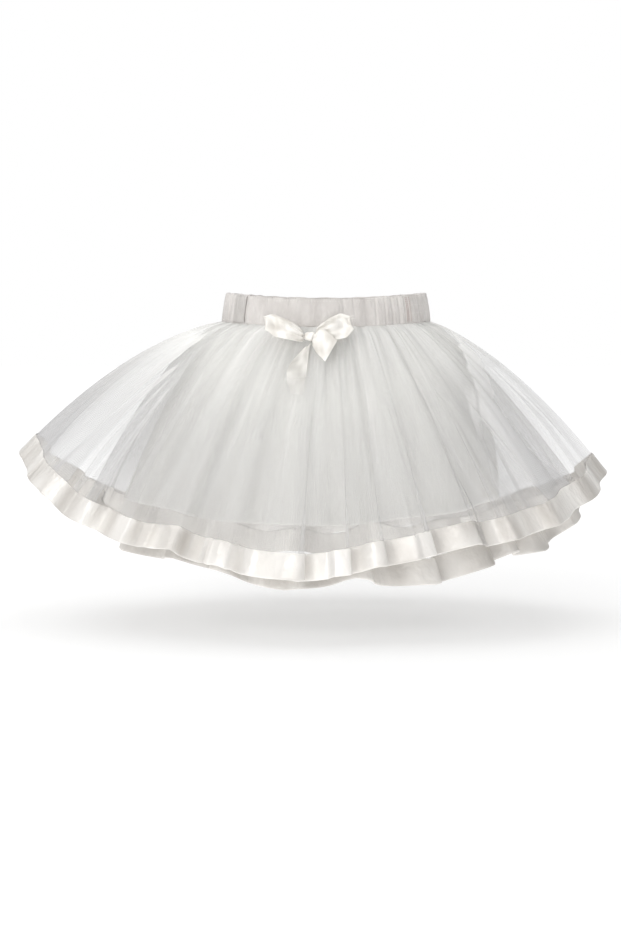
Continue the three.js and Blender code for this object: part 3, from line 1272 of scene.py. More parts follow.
UNDER = TulleSkirt(
    inset=1.9,
    tuck=0.3,
    hem=Hem(10, 247, 139, -191, -256, -3, 1.3),
    bend=Bend(right=(0.42, 0.27), left=(0.5, 0.2), front=(0.4, 0.4)),
    folds=(
        (0, 4, 2, 0),
        (20, 9, -5, 2),
        (40, 8, 6, -2),
        (60, 10, -3, 3),
        (80, 9, 6, 1),
        (100, 11, -4, 10),
        (120, 9, 6, 4),
        (140, 8, -5, 2),
        (160, 9, 3, 0),
        (180, 4, -2, 0),
        (199, 5, 3, 2),
        (217, 9, -2, 7),
        (232, 8, 6, -4),
        (244, 8, -3, -3),
        (257, 10, 9, 8),
        (274, 8, -3, -6),
        (289, 10, 6, 7),
        (304, 9, 3, 1),
        (311.5, 6, -2, -6),
        (320, 9, 6, 6),
        (341, 4, -3, 2),
    ),
    gather_depth=0.8,
    gathers=(
        Gathers(120, 1.1, 0.55, 1.3, 41),
        Gathers(58, 1.5, 1.0, 1.2, 51),
        Gathers(37, 1.6, 1.25, 1.0, 61),
    ),
    creases=(
        Crease(206, 0.4, 4.0, 3.5, 2),
        Crease(224, 0.5, 3.5, -3.5, -2),
        Crease(250, 0.45, 3.0, 3.0, 1),
        Crease(281, 0.4, 3.0, -3.0, 1),
        Crease(312, 0.45, 3.5, 3.5, 2),
        Crease(331, 0.35, 4.0, -4.0, 3),
        Crease(351, 0.4, 4.0, 3.5, 1),
        Crease(30, 0.4, 4.0, -3.5, 2),
        Crease(71, 0.45, 3.5, 3.5, -1),
        Crease(111, 0.4, 3.5, -3.0, 1),
        Crease(150, 0.4, 4.0, 3.5, -2),
        Crease(171, 0.45, 4.0, -3.5, 1),
    ),
    laps=(
        Lap.wedge(0.35, 208, 205, 209, 0.4),
        Lap.wedge(0.3, 233, 235, 238, 0.3),
        Lap.wedge(0.35, 291, 289, 292, 0.3),
        Lap.wedge(0.3, 326, 320, 330, 0.9),
        Lap.wedge(0.3, 354, 349, 353, 0.4),
        Lap.wedge(0.3, 50, 45, 54, 0.4),
        Lap.wedge(0.3, 104, 101, 109, 0.4),
        Lap.wedge(0.35, 157, 155, 161, 0.4),
    ),
    seed=202,
)


@dataclass(frozen=True)
class HemRibbon:
    """Satin ribbon folded over the net's cut edge and sewn through. Millimetres.

    rows are the shares of its width where its face has points. pucker, hem_puckers and belly are
    heights, and each reach how far from its line a pucker dies away. squeeze is the share of the
    gap that is left at the sewing and how far down it opens, and turn_in and turn_down shape the
    rounded fold, as shares of half_gap.
    """

    width: float = 25.0
    half_gap: float = 0.75
    cloth: float = 0.3
    columns: int = 1080
    sewn: float = 2.2
    pucker: float = 0.9
    puckers: int = 165
    sewn_reach: float = 2.6
    hem_puckers: float = 0.45
    hem_line: float = 3.0
    hem_reach: float = 2.5
    belly: float = 0.35
    squeeze: tuple[float, float] = (0.3, 5.0)
    turn_in: float = 0.55
    turn_down: float = 0.8
    rows: tuple[float, ...] = (0, 0.012, 0.05, 0.11, 0.19, 0.32, 0.5, 0.72, 0.93, 1)

    def grid(self, skirt: TulleSkirt, core: float, seed: int) -> ClothGrid:
        """The folded strip, from its outer upper edge round the hem to its inner upper edge.

        Args:
            skirt: the skirt it binds.
            core: offset of the net inside it from the skirt's outer face.
            seed: number that fixes the puckers.

        Returns:
            The grid, closed round the hem.
        """
        turn = ring(self.columns)
        face = np.array(self.rows)
        share = np.concatenate([face, [1.0, 1.0], face[::-1]])
        ends = [self.turn_in, -self.turn_in]
        side = np.concatenate([np.ones(len(face)), ends, -np.ones(len(face))])
        turns = np.broadcast_to(turn, (len(share), self.columns))
        top = 1 - skirt.ribbon_share(turn, self.width)
        edge = 1 - skirt.ribbon_share(turn, self.half_gap)
        t = mix(top, edge, share[:, None])
        middle = np.where(np.abs(side) < 0.9, 1.0, 0.0)[:, None]
        t = t + middle * skirt.ribbon_share(turn, self.half_gap * self.turn_down)
        base = skirt.surface(turns, t)
        down = share[:, None] * self.width
        uneven = Wander(self.puckers // 2, seed)(turns)
        ripple = np.sin(2 * np.pi * (self.puckers * turns + 0.5 * uneven))
        squeeze = mix(self.squeeze[0], 1.0, smooth((down - self.sewn) / self.squeeze[1]))
        belly = self.belly * np.sin(np.pi * np.clip(down / self.width, 0, 1))
        belly = belly * Wander(64, seed + 1)(turns)
        near = bell((down - self.sewn) / self.sewn_reach)
        low = bell((down - self.width + self.hem_line) / self.hem_reach)
        bulge = self.pucker * (0.5 + 0.5 * ripple) * (near + self.hem_puckers * low)
        out = core + side[:, None] * (self.half_gap * squeeze + belly + bulge)
        points = base + self.steady(normals_of(base, True)) * out[..., None]
        falls = np.concatenate([face / 2, [0.5, 0.5], 1 - face[::-1] / 2])
        sizes = (self.hem_length(skirt), 2 * self.width * MM)
        return ClothGrid(points, flat_cut(ring_cut(self.columns), falls, *sizes))

    def steady(self, way: Array) -> Array:
        """Uses the outer face's way out for the whole section, so that the fold stays open.

        Args:
            way: the way out at each point of the section.

        Returns:
            The way out to use instead.
        """
        rows = len(self.rows)
        kept = way.copy()
        kept[rows : rows + 2] = way[rows - 2]
        kept[rows - 1] = way[rows - 2]
        kept[rows + 2 :] = kept[:rows][::-1]
        return kept

    def hem_length(self, skirt: TulleSkirt) -> float:
        """Length of the hem in metres."""
        return length_of(looped(skirt.surface(ring(self.columns), np.ones(self.columns))))

    def seams(self, grid: ClothGrid) -> list[tuple[Array, Array]]:
        """Where the ribbon is sewn.

        Args:
            grid: the folded strip.

        Returns:
            For a line near each upper edge, its points and the way out of the cloth.
        """
        rows = len(grid.points)
        down = np.array(self.rows) * self.width
        row = np.interp(self.sewn, down, np.arange(len(down)))
        low, share = int(row), row - int(row)
        way = normals_of(grid.points, True)
        found = []
        for first, second in ((low, low + 1), (rows - 1 - low, rows - 2 - low)):
            line = mix(grid.points[first], grid.points[second], share)
            lifted = line + way[first] * (self.cloth / 2 + THREAD_LIFT)
            found.append((looped(lifted), looped(way[first])))
        return found


@dataclass(frozen=True)
class SkirtMaker:
    """Makes one skirt: its net, the ribbon round its hem and the sewing that holds it.

    The net is cut flared: cut_width and seam_width are its widths at the hem and at the gathered
    edge, and cut_length its length, in metres. finer is how much closer its rows lie near the seam.
    side_painted_shade is painted shade, the share of the gathers' whiteness that the net keeps at
    the left and right sides, and hem_painted_light painted light, added down the front and back
    towards the hem. core is how far it lies from the solid's outer face, in millimetres.
    """

    label: str
    skirt: TulleSkirt
    cut_width: float
    seam_width: float
    cut_length: float
    net_finish: str
    ribbon_finish: str
    columns: int = 1200
    rows: int = 68
    finer: float = 0.35
    # Painted shade at the sides and painted light down the front and back of the net's tint.
    side_painted_shade: float = 0.72
    hem_painted_light: float = 0.3
    ribbon: HemRibbon = HemRibbon()
    core: float = -0.5

    def build(self, wardrobe: Wardrobe) -> None:
        """Args:
            wardrobe: the materials.
        """
        net = self.net_grid().to_object(f"{self.label}_net_skirt")
        wardrobe.dress(net, self.net_finish)
        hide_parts(f"{self.label}_tulle_skirt")
        binding_grid = self.ribbon.grid(self.skirt, self.core, self.skirt.seed + 7)
        binding = binding_grid.to_object(f"{self.label}_satin_edging", self.ribbon.cloth)
        wardrobe.dress(binding, self.ribbon_finish)
        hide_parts(f"{self.label}_hem_ribbon")
        stitches = Stitching().sew(
            f"{self.label}_edging_stitches", self.ribbon.seams(binding_grid)
        )
        wardrobe.dress(stitches, "white_thread")
        self.ribbon.hem_length(self.skirt)
        log.info(
            "%s: %d faces of net, hem %.3f m",
            self.label,
            len(net.data.polygons),
            self.ribbon.hem_length(self.skirt),
        )

    def net_grid(self) -> ClothGrid:
        """The net as a bare surface, from the seam to inside the ribbon's fold.

        Returns:
            The grid, with how packed and how gathered the net is at each point; the gathered value
            also holds painted shade at the sides and painted light down the front and back.
        """
        turn = ring(self.columns)
        end = 1 - self.skirt.ribbon_share(turn, 2 * self.ribbon.half_gap + 0.6)
        share = np.linspace(0, 1, self.rows)
        rows = mix(share, share**2, self.finer)
        t = rows[:, None] * end[None]
        turns = np.broadcast_to(turn, t.shape)
        points = self.skirt.surface(turns, t)
        points = points + normals_of(points, True) * self.core
        cut = flat_cut(ring_cut(self.columns), rows, self.cut_width, self.cut_length)
        # The net's tint: whiter where it is gathered near the seam, with painted shade at the left
        # and right sides and painted light added down the front and back towards the hem.
        facing = np.sin(2 * np.pi * turns) ** 2
        gathered_with_side_shade = mix(self.side_painted_shade, 1.0, facing) * (1 - t) ** self.skirt.packing_fade
        values = {
            "packing": self.skirt.density(turns, t),
            "gathered": gathered_with_side_shade + self.hem_painted_light * facing * t,
        }
        return ClothGrid(points, cut, values=values)


@dataclass(frozen=True)
class Lining(HungSkirt):
    """The plain lining, cut narrower, with a turned and stitched hem."""

    inset: float = 3.1
    hem: Hem = Hem(-16, 184, 108, -186, -203, 3, 2)
    bend: Bend = Bend(right=(1.1, 0.4), left=(0.56, 0.3), front=(0.4, 0.4))
    tuck: float = 0.0
    folds: int = 9
    fold_depth: float = 5.0
    sway: float = 0.4
    columns: int = 540
    rows: int = 40
    turned: float = 7.0
    cloth: float = 0.5
    cut_width: float = 0.95
    cut_length: float = 0.215
    hem_steps: int = 6
    hem_bulge: float = 0.35
    gathers: tuple[int, float] = (60, 0.9)
    waves: tuple[int, float] = (26, 1.4)

    def surface(self, turn: Array, t: Array) -> Array:
        """Points of the lining's outer face.

        Args:
            turn: share of a turn round the waist, for each point.
            t: 0 at the seam to 1 at the hem, for each point.

        Returns:
            The points in millimetres, with a last axis of 3.
        """
        seam, bend, edge, away = self.hang(turn * 2 * np.pi)
        wave = np.cos(2 * np.pi * self.folds * turn) + self.sway * np.sin(4 * np.pi * turn)
        (count, depth), (waves, sway) = self.gathers, self.waves
        small = depth * Wander(count, 5)(turn + 0.01 * t) * (1 - t) * smooth(t / 0.1)
        large = sway * Wander(waves, 6)(turn) * t * smooth(t / 0.2)
        swing = self.fold_depth * wave * t**2 + small + large
        return self.curve(seam, bend, edge, t) + away * swing[..., None]

    def build(self, wardrobe: Wardrobe) -> None:
        """Makes the lining with its hem turned up inside, and the hem's stitching.

        Args:
            wardrobe: the materials.
        """
        low = 1 - self.turned / self.fall()
        body = np.linspace(0, low, self.rows)
        hem = np.linspace(low, 1, self.hem_steps)[1:]
        back = np.linspace(1, low, self.hem_steps)
        forward = np.concatenate([body, hem])
        t = np.concatenate([forward, back])
        side = np.concatenate([np.zeros(len(forward) - 1), [-0.5], np.full(len(back), -1.1)])
        faces = [
            self.surface(*np.broadcast_arrays(ring(self.columns), rows[:, None]))
            for rows in (t, forward)
        ]
        way = normals_of(faces[1], True)
        way = np.concatenate([way, way[: len(body) - 2 : -1][: self.hem_steps]])
        bulge = np.where((t > low) & (side > -0.4), self.hem_bulge, 0.0)
        points = faces[0] + way * (side - 0.5 + bulge)[:, None, None]
        length = np.concatenate([forward, 2 - back])
        sizes = (self.cut_width, self.cut_length + self.turned * MM)
        cut = flat_cut(ring_cut(self.columns), length / length.max(), *sizes)
        piece = ClothGrid(points, cut).to_object("lining_skirt", self.cloth)
        wardrobe.dress(piece, "lining_cloth")
        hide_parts("lining")
        sewn = len(body)
        line = points[sewn] + way[sewn] * (self.cloth / 2 + THREAD_LIFT)
        stitches = Stitching(length=2.4, width=0.4, height=0.25, pitch=3.2).sew(
            "lining_hem_stitches", [(looped(line), looped(way[sewn]))]
        )
        wardrobe.dress(stitches, "white_thread")
        log.info("lining: %d faces", len(piece.data.polygons))

    def fall(self) -> float:
        """Rough length of the cloth near the hem for one of t, in millimetres."""
        _, bend, edge, _ = self.hang(np.array([1.5 * np.pi]))
        return float(2 * np.linalg.norm(edge - bend, axis=-1)[0])


# ---------- Waistband ----------


@dataclass(frozen=True)
class Pucker:
    """An upright crease pressed into the casing. Degrees, and millimetres for its depth."""

    at: float
    width: float
    depth: float
    reach: float = 1.0


@dataclass(frozen=True)
class Casing:
    """One panel of the waistband: a folded casing with rounded edges and two sewn channels.

    start and stop are degrees. middle is the share of a gather's depth that is left halfway up, and
    sharpness the power that narrows it. edge_wave and puff are how far its top edge wavers and its
    middle stands out, in millimetres, and channels are the levels where it is sewn.
    """

    label: str
    start: float
    stop: float
    columns: int
    gathers: int
    gather_depth: float
    puckers: tuple[Pucker, ...]
    crease_depth: float
    seed: int
    cut_width: float
    lift: float = 0.0
    edge_round: float = 1.3
    edge_wave: float = 0.45
    gather_uneven: float = 0.22
    gather_depths: tuple[float, float] = (0.8, 0.35)
    middle: float = 0.6
    sharpness: float = 1.5
    puff: float = 0.35
    channels: tuple[float, ...] = (0.8, -0.8)
    channel: float = 0.25
    channel_reach: float = 0.06

    def face(self, degrees: Array, level: Array) -> Array:
        """How far the outer face is pressed in by gathers, creases and sewing.

        Args:
            degrees: where round the waist, for each point.
            level: 1 at the top edge and -1 at the bottom, for each point.

        Returns:
            Millimetres for each point.
        """
        span = (degrees - self.start) / (self.stop - self.start)
        uneven = Wander(max(6, self.gathers // 2), self.seed)(span)
        phase = self.gathers * span + self.gather_uneven * uneven
        fold = (1 - np.cos(2 * np.pi * phase)) / 2
        share = mix(self.middle, 1.0, np.abs(level))
        least, more = self.gather_depths
        deep = least + more * Wander(max(5, self.gathers // 3), self.seed + 1)(span)
        pressed = self.gather_depth * fold**self.sharpness * share * deep
        fine = Wander(self.gathers * 4, self.seed + 2)(span)
        edges = np.abs(level) ** self.sharpness
        pressed = pressed + self.crease_depth * (0.5 + 0.5 * fine) * edges
        for pucker in self.puckers:
            across = bell((degrees - pucker.at) / pucker.width)
            pressed = pressed + pucker.depth * across * mix(1.0, np.abs(level), 1 - pucker.reach)
        for sewn in self.channels:
            pressed = pressed + self.channel * bell((level - sewn) / self.channel_reach)
        return pressed

    def on_face(self, degrees: Array, level: Array, out: Array, kept: float = 1.0) -> Array:
        """Points on the outer face.

        Args:
            degrees: where round the waist, for each point.
            level: 1 at the top edge and -1 at the bottom, for each point.
            out: how far they stand out from the face, in millimetres.
            kept: the share of the face's relief that they follow.

        Returns:
            The points in millimetres, with a last axis of 3.
        """
        pressed = self.face(degrees, level) - self.puff * (1 - np.abs(level) ** 4)
        points = BAND.point(np.radians(degrees), level, pressed * kept - out)
        points[..., 2] += self.lift * smooth((level + 1) / 2)
        return points

    def grid(self) -> ClothGrid:
        """The casing's closed section carried round the panel.

        Returns:
            The grid, its first row again as its last.
        """
        trim = math.degrees(0.03 / BAND.half_depth)
        degrees = np.linspace(self.start + trim, self.stop - trim, self.columns)
        corner = self.edge_round / (BAND.height / 2)
        tight, wide = 1 - corner * 0.05, 1 - corner * 0.35
        face = np.linspace(1 - corner, -1 + corner, 15)
        inner = np.linspace(-1 + corner, 1 - corner, 7)
        level = np.concatenate([[tight, wide], face, [-wide, -tight, -tight], inner, [tight]])
        rim = BAND.wall * 0.32
        deep = [BAND.wall - rim * 0.5]
        depth = np.concatenate(
            [[rim, rim * 0.3], np.zeros(15), [rim * 0.3, rim], deep, np.full(7, BAND.wall), deep]
        )
        outer = np.concatenate([[0.6, 0.9], np.ones(15), [0.9, 0.6], np.zeros(9)])[:, None]
        levels, around = np.meshgrid(level, degrees, indexing="ij")
        pressed = self.face(around, levels) * outer
        puff = self.puff * (1 - np.abs(levels) ** 4) * outer
        depths = np.minimum(depth[:, None] + pressed - puff, BAND.wall)
        points = BAND.point(np.radians(around), levels, depths)
        span = (around - self.start) / (self.stop - self.start)
        wave = self.edge_wave * Wander(self.gathers * 2, self.seed + 3)(span)
        points[..., 2] += (self.lift + wave) * smooth((levels + 1) / 2)
        closed = looped(points)
        falls = np.linspace(0, 1, len(closed))
        turns = np.linspace(0, 1, self.columns + 1)[: self.columns]
        cut = flat_cut(turns, falls, self.cut_width, 2 * BAND.height * MM)
        return ClothGrid(closed, cut, closed=False)

    def build(self, wardrobe: Wardrobe, node: str) -> bpy.types.Object:
        """Makes the panel with its two ends closed.

        Args:
            wardrobe: the materials.
            node: the solid that it stands for.

        Returns:
            The piece.
        """
        piece = self.grid().to_object(f"waistband_casing_{self.label}")
        mend(piece, 1e-6, open_ends=True)
        wardrobe.dress(piece, "casing_cloth")
        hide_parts(node)
        log.info("waistband %s: %d faces", self.label, len(piece.data.polygons))
        return piece

    def seam(
        self, level: float, start: float, stop: float, out: float = 0.1
    ) -> tuple[Array, Array]:
        """A line of sewing along the panel.

        Args:
            level: 1 at the top edge and -1 at the bottom.
            start: degrees where it begins.
            stop: degrees where it ends.
            out: how far it stands out from the face, in millimetres.

        Returns:
            Its points and the way out of the cloth at each.
        """
        degrees = np.linspace(start, stop, int((stop - start) * 4) + 2)
        levels = np.full_like(degrees, level)
        return self.on_face(degrees, levels, out), BAND.out(np.radians(degrees))


@dataclass(frozen=True)
class Waistband:
    """The elasticated waistband: a smooth front panel and a gathered back one, sewn together.

    end is how many degrees short of a panel's end its sewing stops, and front_rows and back_rows
    are the levels of the sewing. overlock has a level and where it starts and stops. join_rows and
    mended_rows are the degrees of the upright rows, and strip where the ribbed strip lies.
    """

    front: Casing = Casing(
        label="front",
        start=221.5,
        stop=316.9,
        columns=420,
        gathers=7,
        gather_depth=0.9,
        puckers=(
            Pucker(226, 0.8, 0.5),
            Pucker(233, 1.0, 0.5, 0.4),
            Pucker(243, 1.2, 0.4, 0.3),
            Pucker(279, 0.9, 0.7, 0.7),
            Pucker(285, 0.8, 0.8, 0.8),
            Pucker(292, 0.9, 0.6, 0.6),
            Pucker(298, 0.8, 1.2, 0.9),
            Pucker(304, 0.7, 1.1, 0.8),
            Pucker(309, 0.8, 1.4, 0.9),
            Pucker(314, 0.7, 1.1),
        ),
        crease_depth=0.5,
        seed=301,
        cut_width=0.15,
    )
    back: Casing = Casing(
        label="back",
        start=316.9,
        stop=581.5,
        columns=1150,
        gathers=36,
        gather_depth=1.3,
        puckers=(
            Pucker(318.6, 0.6, 1.2),
            Pucker(325, 0.8, 1.4),
            Pucker(334, 0.8, 1.0),
            Pucker(562, 0.8, 0.5),
            Pucker(571, 0.7, 0.6),
        ),
        crease_depth=0.45,
        seed=311,
        cut_width=0.46,
        lift=0.8,
    )
    end: float = 0.6
    front_rows: tuple[float, ...] = (0.8, -0.8)
    back_rows: tuple[float, ...] = (0.8, 0.27, -0.27, -0.8)
    overlock: tuple[float, float, float] = (0.97, 222, 292)
    join_rows: tuple[float, ...] = (569.0, 577.6, 579.4)
    mended_rows: tuple[float, ...] = (319.8, 321.4, 323.0)
    strip: tuple[float, float] = (568.8, 579.6)
    strip_level: float = 0.93
    strip_width: float = 0.018
    strip_lift: float = 0.45
    ribs: int = 8
    rib_height: float = 0.28

    def build(self, wardrobe: Wardrobe) -> None:
        """Makes both panels, their sewing and the joining patch at the side.

        Args:
            wardrobe: the materials.
        """
        front = self.front.build(wardrobe, "waistband_front")
        back = self.back.build(wardrobe, "waistband_back")
        for panel, levels in ((self.front, self.front_rows), (self.back, self.back_rows)):
            first, last = panel.start + self.end, panel.stop - self.end
            lines = [panel.seam(level, first, last) for level in levels]
            sewn = Stitching(length=1.9, width=0.35, height=0.2, pitch=2.9).sew(
                f"waistband_{panel.label}_stitches", lines
            )
            wardrobe.dress(sewn, "white_thread")
        edge = self.front.seam(*self.overlock, out=-0.2)
        overlock = Stitching(length=1.3, width=0.7, height=0.3, pitch=2.4).sew(
            "waistband_edge_stitches", [edge]
        )
        wardrobe.dress(overlock, "grey_thread")
        patch = self.patch(wardrobe)

    def patch(self, wardrobe: Wardrobe) -> list[bpy.types.Object]:
        """The close rows of sewing that join the elastic's ends, and the mended spot opposite.

        Args:
            wardrobe: the materials.

        Returns:
            The pieces.
        """
        made = []
        level = np.linspace(0.86, -0.8, 24)
        for name, finish, places in (
            ("waistband_join_stitches", "grey_thread", self.join_rows),
            ("waistband_side_stitches", "rose_thread", self.mended_rows),
        ):
            columns = [np.full_like(level, place) for place in places]
            lines = [
                (self.back.on_face(column, level, 0.1), BAND.out(np.radians(column)))
                for column in columns
            ]
            sewn = Stitching(length=1.8, width=1.0, height=0.4, pitch=1.9).sew(name, lines)
            made.append(wardrobe.dress(sewn, finish))
        return [*made, self.ribbed_patch(wardrobe)]

    def ribbed_patch(self, wardrobe: Wardrobe) -> bpy.types.Object:
        """The short ribbed strip sewn over the elastic's join.

        Args:
            wardrobe: the materials.

        Returns:
            The piece.
        """
        degrees = np.linspace(*self.strip, 85)
        level = np.linspace(self.strip_level, -self.strip_level, 14)
        levels, around = np.meshgrid(level, degrees, indexing="ij")
        share = (degrees - degrees[0]) / (degrees[-1] - degrees[0])
        ribs = self.rib_height * np.cos(2 * np.pi * self.ribs * share)[None]
        points = self.back.on_face(around, levels, self.strip_lift + ribs, kept=0.6)
        cut = flat_cut(share, (1 - level) / 2, self.strip_width, BAND.height * MM)
        piece = ClothGrid(points, cut, closed=False).to_object("waistband_join_patch", 0.25)
        # The strip's grey cloth is painted shade.
        return wardrobe.dress(piece, "shaded_patch_cloth")


# ---------- Bow ----------


@dataclass(frozen=True)
class RibbonPath:
    """A ribbon by the points of its middle line, its width and the way across at each."""

    centre: Array
    width: Array
    up: Array
    cup: Array
    pleat: Array
    pleats: float = 1.5
    dents: tuple[tuple[float, float, float, float, float], ...] = ()

    def grid(self, across: int = 21) -> ClothGrid:
        """The ribbon as an open grid.

        Args:
            across: how many points it has across.

        Returns:
            The grid, with rows across the ribbon and columns along it.
        """
        normal = unit(np.cross(unit(np.gradient(self.centre, axis=0)), self.up))
        share = np.linspace(0.5, -0.5, across)[:, None, None]
        bowl = 1 - (2 * share) ** 2
        wave = np.cos(2 * np.pi * self.pleats * share)
        pressed = bowl * self.cup[None, :, None] + wave * self.pleat[None, :, None]
        place = np.linspace(0, 1, len(self.centre))[None, :, None]
        for at, level, reach, wide, depth in self.dents:
            spot = ((place - at) / reach) ** 2 + ((share - level) / wide) ** 2
            pressed = pressed + depth * np.exp(-spot)
        points = (
            self.centre[None]
            + self.up[None] * share * self.width[None, :, None]
            + normal[None] * pressed
        )
        reached = along(self.centre) * MM
        wide = np.linspace(self.width.max() * MM, 0, across)
        cut = np.stack(np.meshgrid(reached, wide), axis=-1)
        cover = mix(0.96, 0.15, smooth(reached / reached[-1] * 1.1))
        values = {"cover": np.broadcast_to(cover, (across, len(reached)))}
        return ClothGrid(points, cut, closed=False, values=values)

    def length(self) -> float:
        """Length along the middle, in metres."""
        return length_of(self.centre)


@dataclass(frozen=True)
class LoopShape:
    """One loop of the bow: which side, its reach, rise and belly, and its crosswise lean.

    split is how far the front of the loop sinks below its back. dents are pressed into the ribbon:
    share along it, share across it, reach along, reach across and depth.
    """

    side: int
    reach: float
    rise: float
    belly: float
    lean: float
    cup: float
    split: float
    dents: tuple[tuple[float, float, float, float, float], ...]


@dataclass(frozen=True)
class Bow:
    """The satin bow: a knot, two loops, a hanging tail and a turned-down flap.

    narrow and wide are the ribbon's widths in the knot and flat. opening and rising are the powers
    by which a loop widens and rises, and round_tip how much its tip narrows and from where.
    """

    angle: float = 261.0
    height: float = -25.0
    stand: float = 13.8
    knot: tuple[float, float, float] = (6.0, 6.6, 6.0)
    narrow: float = 8.0
    wide: float = 22.0
    clear: float = 6.0
    root: float = 2.0
    tip_back: float = 0.3
    opening: float = 0.35
    rising: float = 0.75
    round_tip: tuple[float, float] = (0.42, 0.72)
    root_pleat: float = 1.2
    end_pleat: float = 0.8
    steps: int = 72
    cloth: float = 0.35
    left: LoopShape = LoopShape(
        -1, 37, 13, 9, 0.12, 1.2, 2.0, ((0.27, 0.1, 0.07, 0.3, 4.5), (0.4, -0.2, 0.04, 0.5, -1.6))
    )
    right: LoopShape = LoopShape(
        1, 33, 13, 10, -0.32, 1.4, 5.0, ((0.72, 0.15, 0.06, 0.35, 4.0), (0.6, 0.3, 0.04, 0.4, 2.0))
    )
    tail: tuple[tuple[float, float, float, float, float], ...] = (
        (-2, -1, -8.6, 8, -35),
        (-8.5, -4, -18, 17, -28),
        (-12, -10.5, -30, 20, -12),
        (-13, -17.5, -42, 17, 0),
        (-12, -24, -54, 11, 8),
    )
    flap: tuple[tuple[float, float, float, float, float], ...] = (
        (2.5, -7, -4, 9, 95),
        (8, -10, -4, 22, 100),
        (14.5, -11.5, -8, 24, 112),
        (20, -12, -13.5, 23, 120),
    )

    def centre(self) -> Array:
        """The knot's middle."""
        face = BAND.point(math.radians(self.angle), 0.0, 0.0)
        return np.array([face[0], face[1] - self.stand, self.height])

    def loop_path(self, loop: LoopShape) -> RibbonPath:
        """A loop from behind the knot, out along the waistband and back in front.

        Args:
            loop: its shape.

        Returns:
            The ribbon's path.
        """
        knot = self.centre()
        share = np.linspace(0, 1, self.steps)
        opened = np.sin(np.pi * share)
        start = self.knot[0] + 2 * BAND.seam_gap
        x = knot[0] + loop.side * (start + loop.reach * opened)
        band_face = -BAND.half_depth * np.sqrt(1 - (x / BAND.half_width) ** 2)
        back = mix(knot[1] + self.root, band_face - self.clear, opened)
        front = knot[1] - self.root - loop.belly * np.sqrt(opened)
        sunk = loop.split * (1 - 2 * share) * opened
        height = self.height + loop.rise * opened**self.rising + sunk
        centre = np.stack([x, mix(back, front, share), height], axis=-1)
        lean = np.array([loop.side * loop.lean, self.tip_back, 1.0])
        up = unit(np.broadcast_to(lean, centre.shape))
        width = mix(self.narrow, self.wide, opened**self.opening)
        less, tip = self.round_tip
        width = width * (1 - less * smooth((opened - tip) / (1 - tip)))
        pleat = self.root_pleat * (1 - opened)
        cup = loop.cup * opened
        if loop.side < 0:
            centre, up, width = centre[::-1], up[::-1], width[::-1]
            pleat, cup = pleat[::-1], cup[::-1]
        return RibbonPath(centre, width, up, cup, pleat, 2.5, loop.dents)

    def end_path(self, rows: Sequence[tuple[float, ...]], cup: float) -> RibbonPath:
        """A loose end of the ribbon.

        Args:
            rows: its place from the knot's middle, its width and its dip in degrees, along it.
            cup: how far it is hollowed, in millimetres.

        Returns:
            The ribbon's path.
        """
        table = np.array(rows, float)
        place = np.linspace(0, len(table) - 1, self.steps)
        smooth_table = np.stack([catmull(table[:, k], place) for k in range(5)], axis=-1)
        dip = np.radians(smooth_table[:, 4])
        up = np.stack([-np.cos(dip), np.zeros_like(dip), np.sin(dip)], axis=-1)
        share = place / place[-1]
        return RibbonPath(
            smooth_table[:, :3] + self.centre(),
            smooth_table[:, 3],
            up,
            cup * np.sin(np.pi * np.clip(share * 1.1, 0, 1)),
            self.end_pleat * (1 - smooth(share * 2.5)),
        )

    def build(self, wardrobe: Wardrobe) -> None:
        """Args:
            wardrobe: the materials.
        """
        knot = self.knot_piece()
        wardrobe.dress(knot, "bow_satin")
        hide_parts("bow_knot")
        paths = {
            "bow_loop_left": ("bow_satin_loop_left", self.loop_path(self.left)),
            "bow_loop_right": ("bow_satin_loop_right", self.loop_path(self.right)),
            "bow_tail": ("bow_satin_tail", self.end_path(self.tail, 1.6)),
            "bow_flap": ("bow_satin_flap", self.end_path(self.flap, 1.2)),
        }
        for node, (name, path) in paths.items():
            piece = path.grid().to_object(name, self.cloth)
            wardrobe.dress(piece, "tail_satin" if node == "bow_tail" else "bow_satin")
            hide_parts(node)
            path.length()
            path.length() * float(path.width.mean()) * MM
        frayed = Stitching(length=2.6, width=0.28, height=0.2, pitch=2.2).sew(
            "bow_frayed_threads", self.frays()
        )
        wardrobe.dress(frayed, "white_thread")
        log.info("bow: knot and %d ribbons", len(paths))

    def frays(self) -> list[tuple[Array, Array]]:
        """Loose threads at the end of the right loop.

        Returns:
            For each thread, its points and the way out at each.
        """
        path = self.loop_path(self.right)
        at = self.steps // 2
        draw = np.random.default_rng(7)
        lines = []
        for level in np.linspace(0.5, 0.05, 9):
            root = path.centre[at] + path.up[at] * level * path.width[at]
            reach = np.array([4.0, -1.0, 1.5]) + draw.uniform(-1.5, 1.5, 3)
            steps = np.linspace(0, 1, 6)[:, None]
            line = root + reach * steps + np.array([0, 0, -1.0]) * steps**2
            lines.append((line, np.broadcast_to(np.array([0.0, -1.0, 0.0]), line.shape)))
        return lines

    def knot_piece(self) -> bpy.types.Object:
        """The knot: a small crossed wrap with the ribbon's pleats running over it.

        Returns:
            The piece.
        """
        rows, columns = 25, 48
        polar = np.linspace(0, np.pi, rows)[:, None]
        round_it = (ring(columns) * 2 * np.pi)[None]
        wrap = 0.07 * np.cos(5 * polar + 1.4 * np.sin(round_it)) + 0.05 * np.cos(3 * round_it)
        radius = 1 + wrap * np.sin(polar) - 0.04
        half = np.array(self.knot) * np.array([1.0, 0.8, 0.74])
        across = np.sin(polar) ** 0.8
        points = np.stack(
            [
                np.cos(polar) * radius * half[0] * np.ones_like(round_it),
                across * np.cos(round_it) * radius * half[1],
                across * np.sin(round_it) * radius * half[2],
            ],
            axis=-1,
        )
        cut = flat_cut(ring_cut(columns), np.linspace(0, 1, rows), 0.03, self.wide * MM)
        piece = ClothGrid(points + self.centre(), cut).to_object("bow_satin_knot")
        mend(piece, 1e-7, open_ends=False)
        return piece


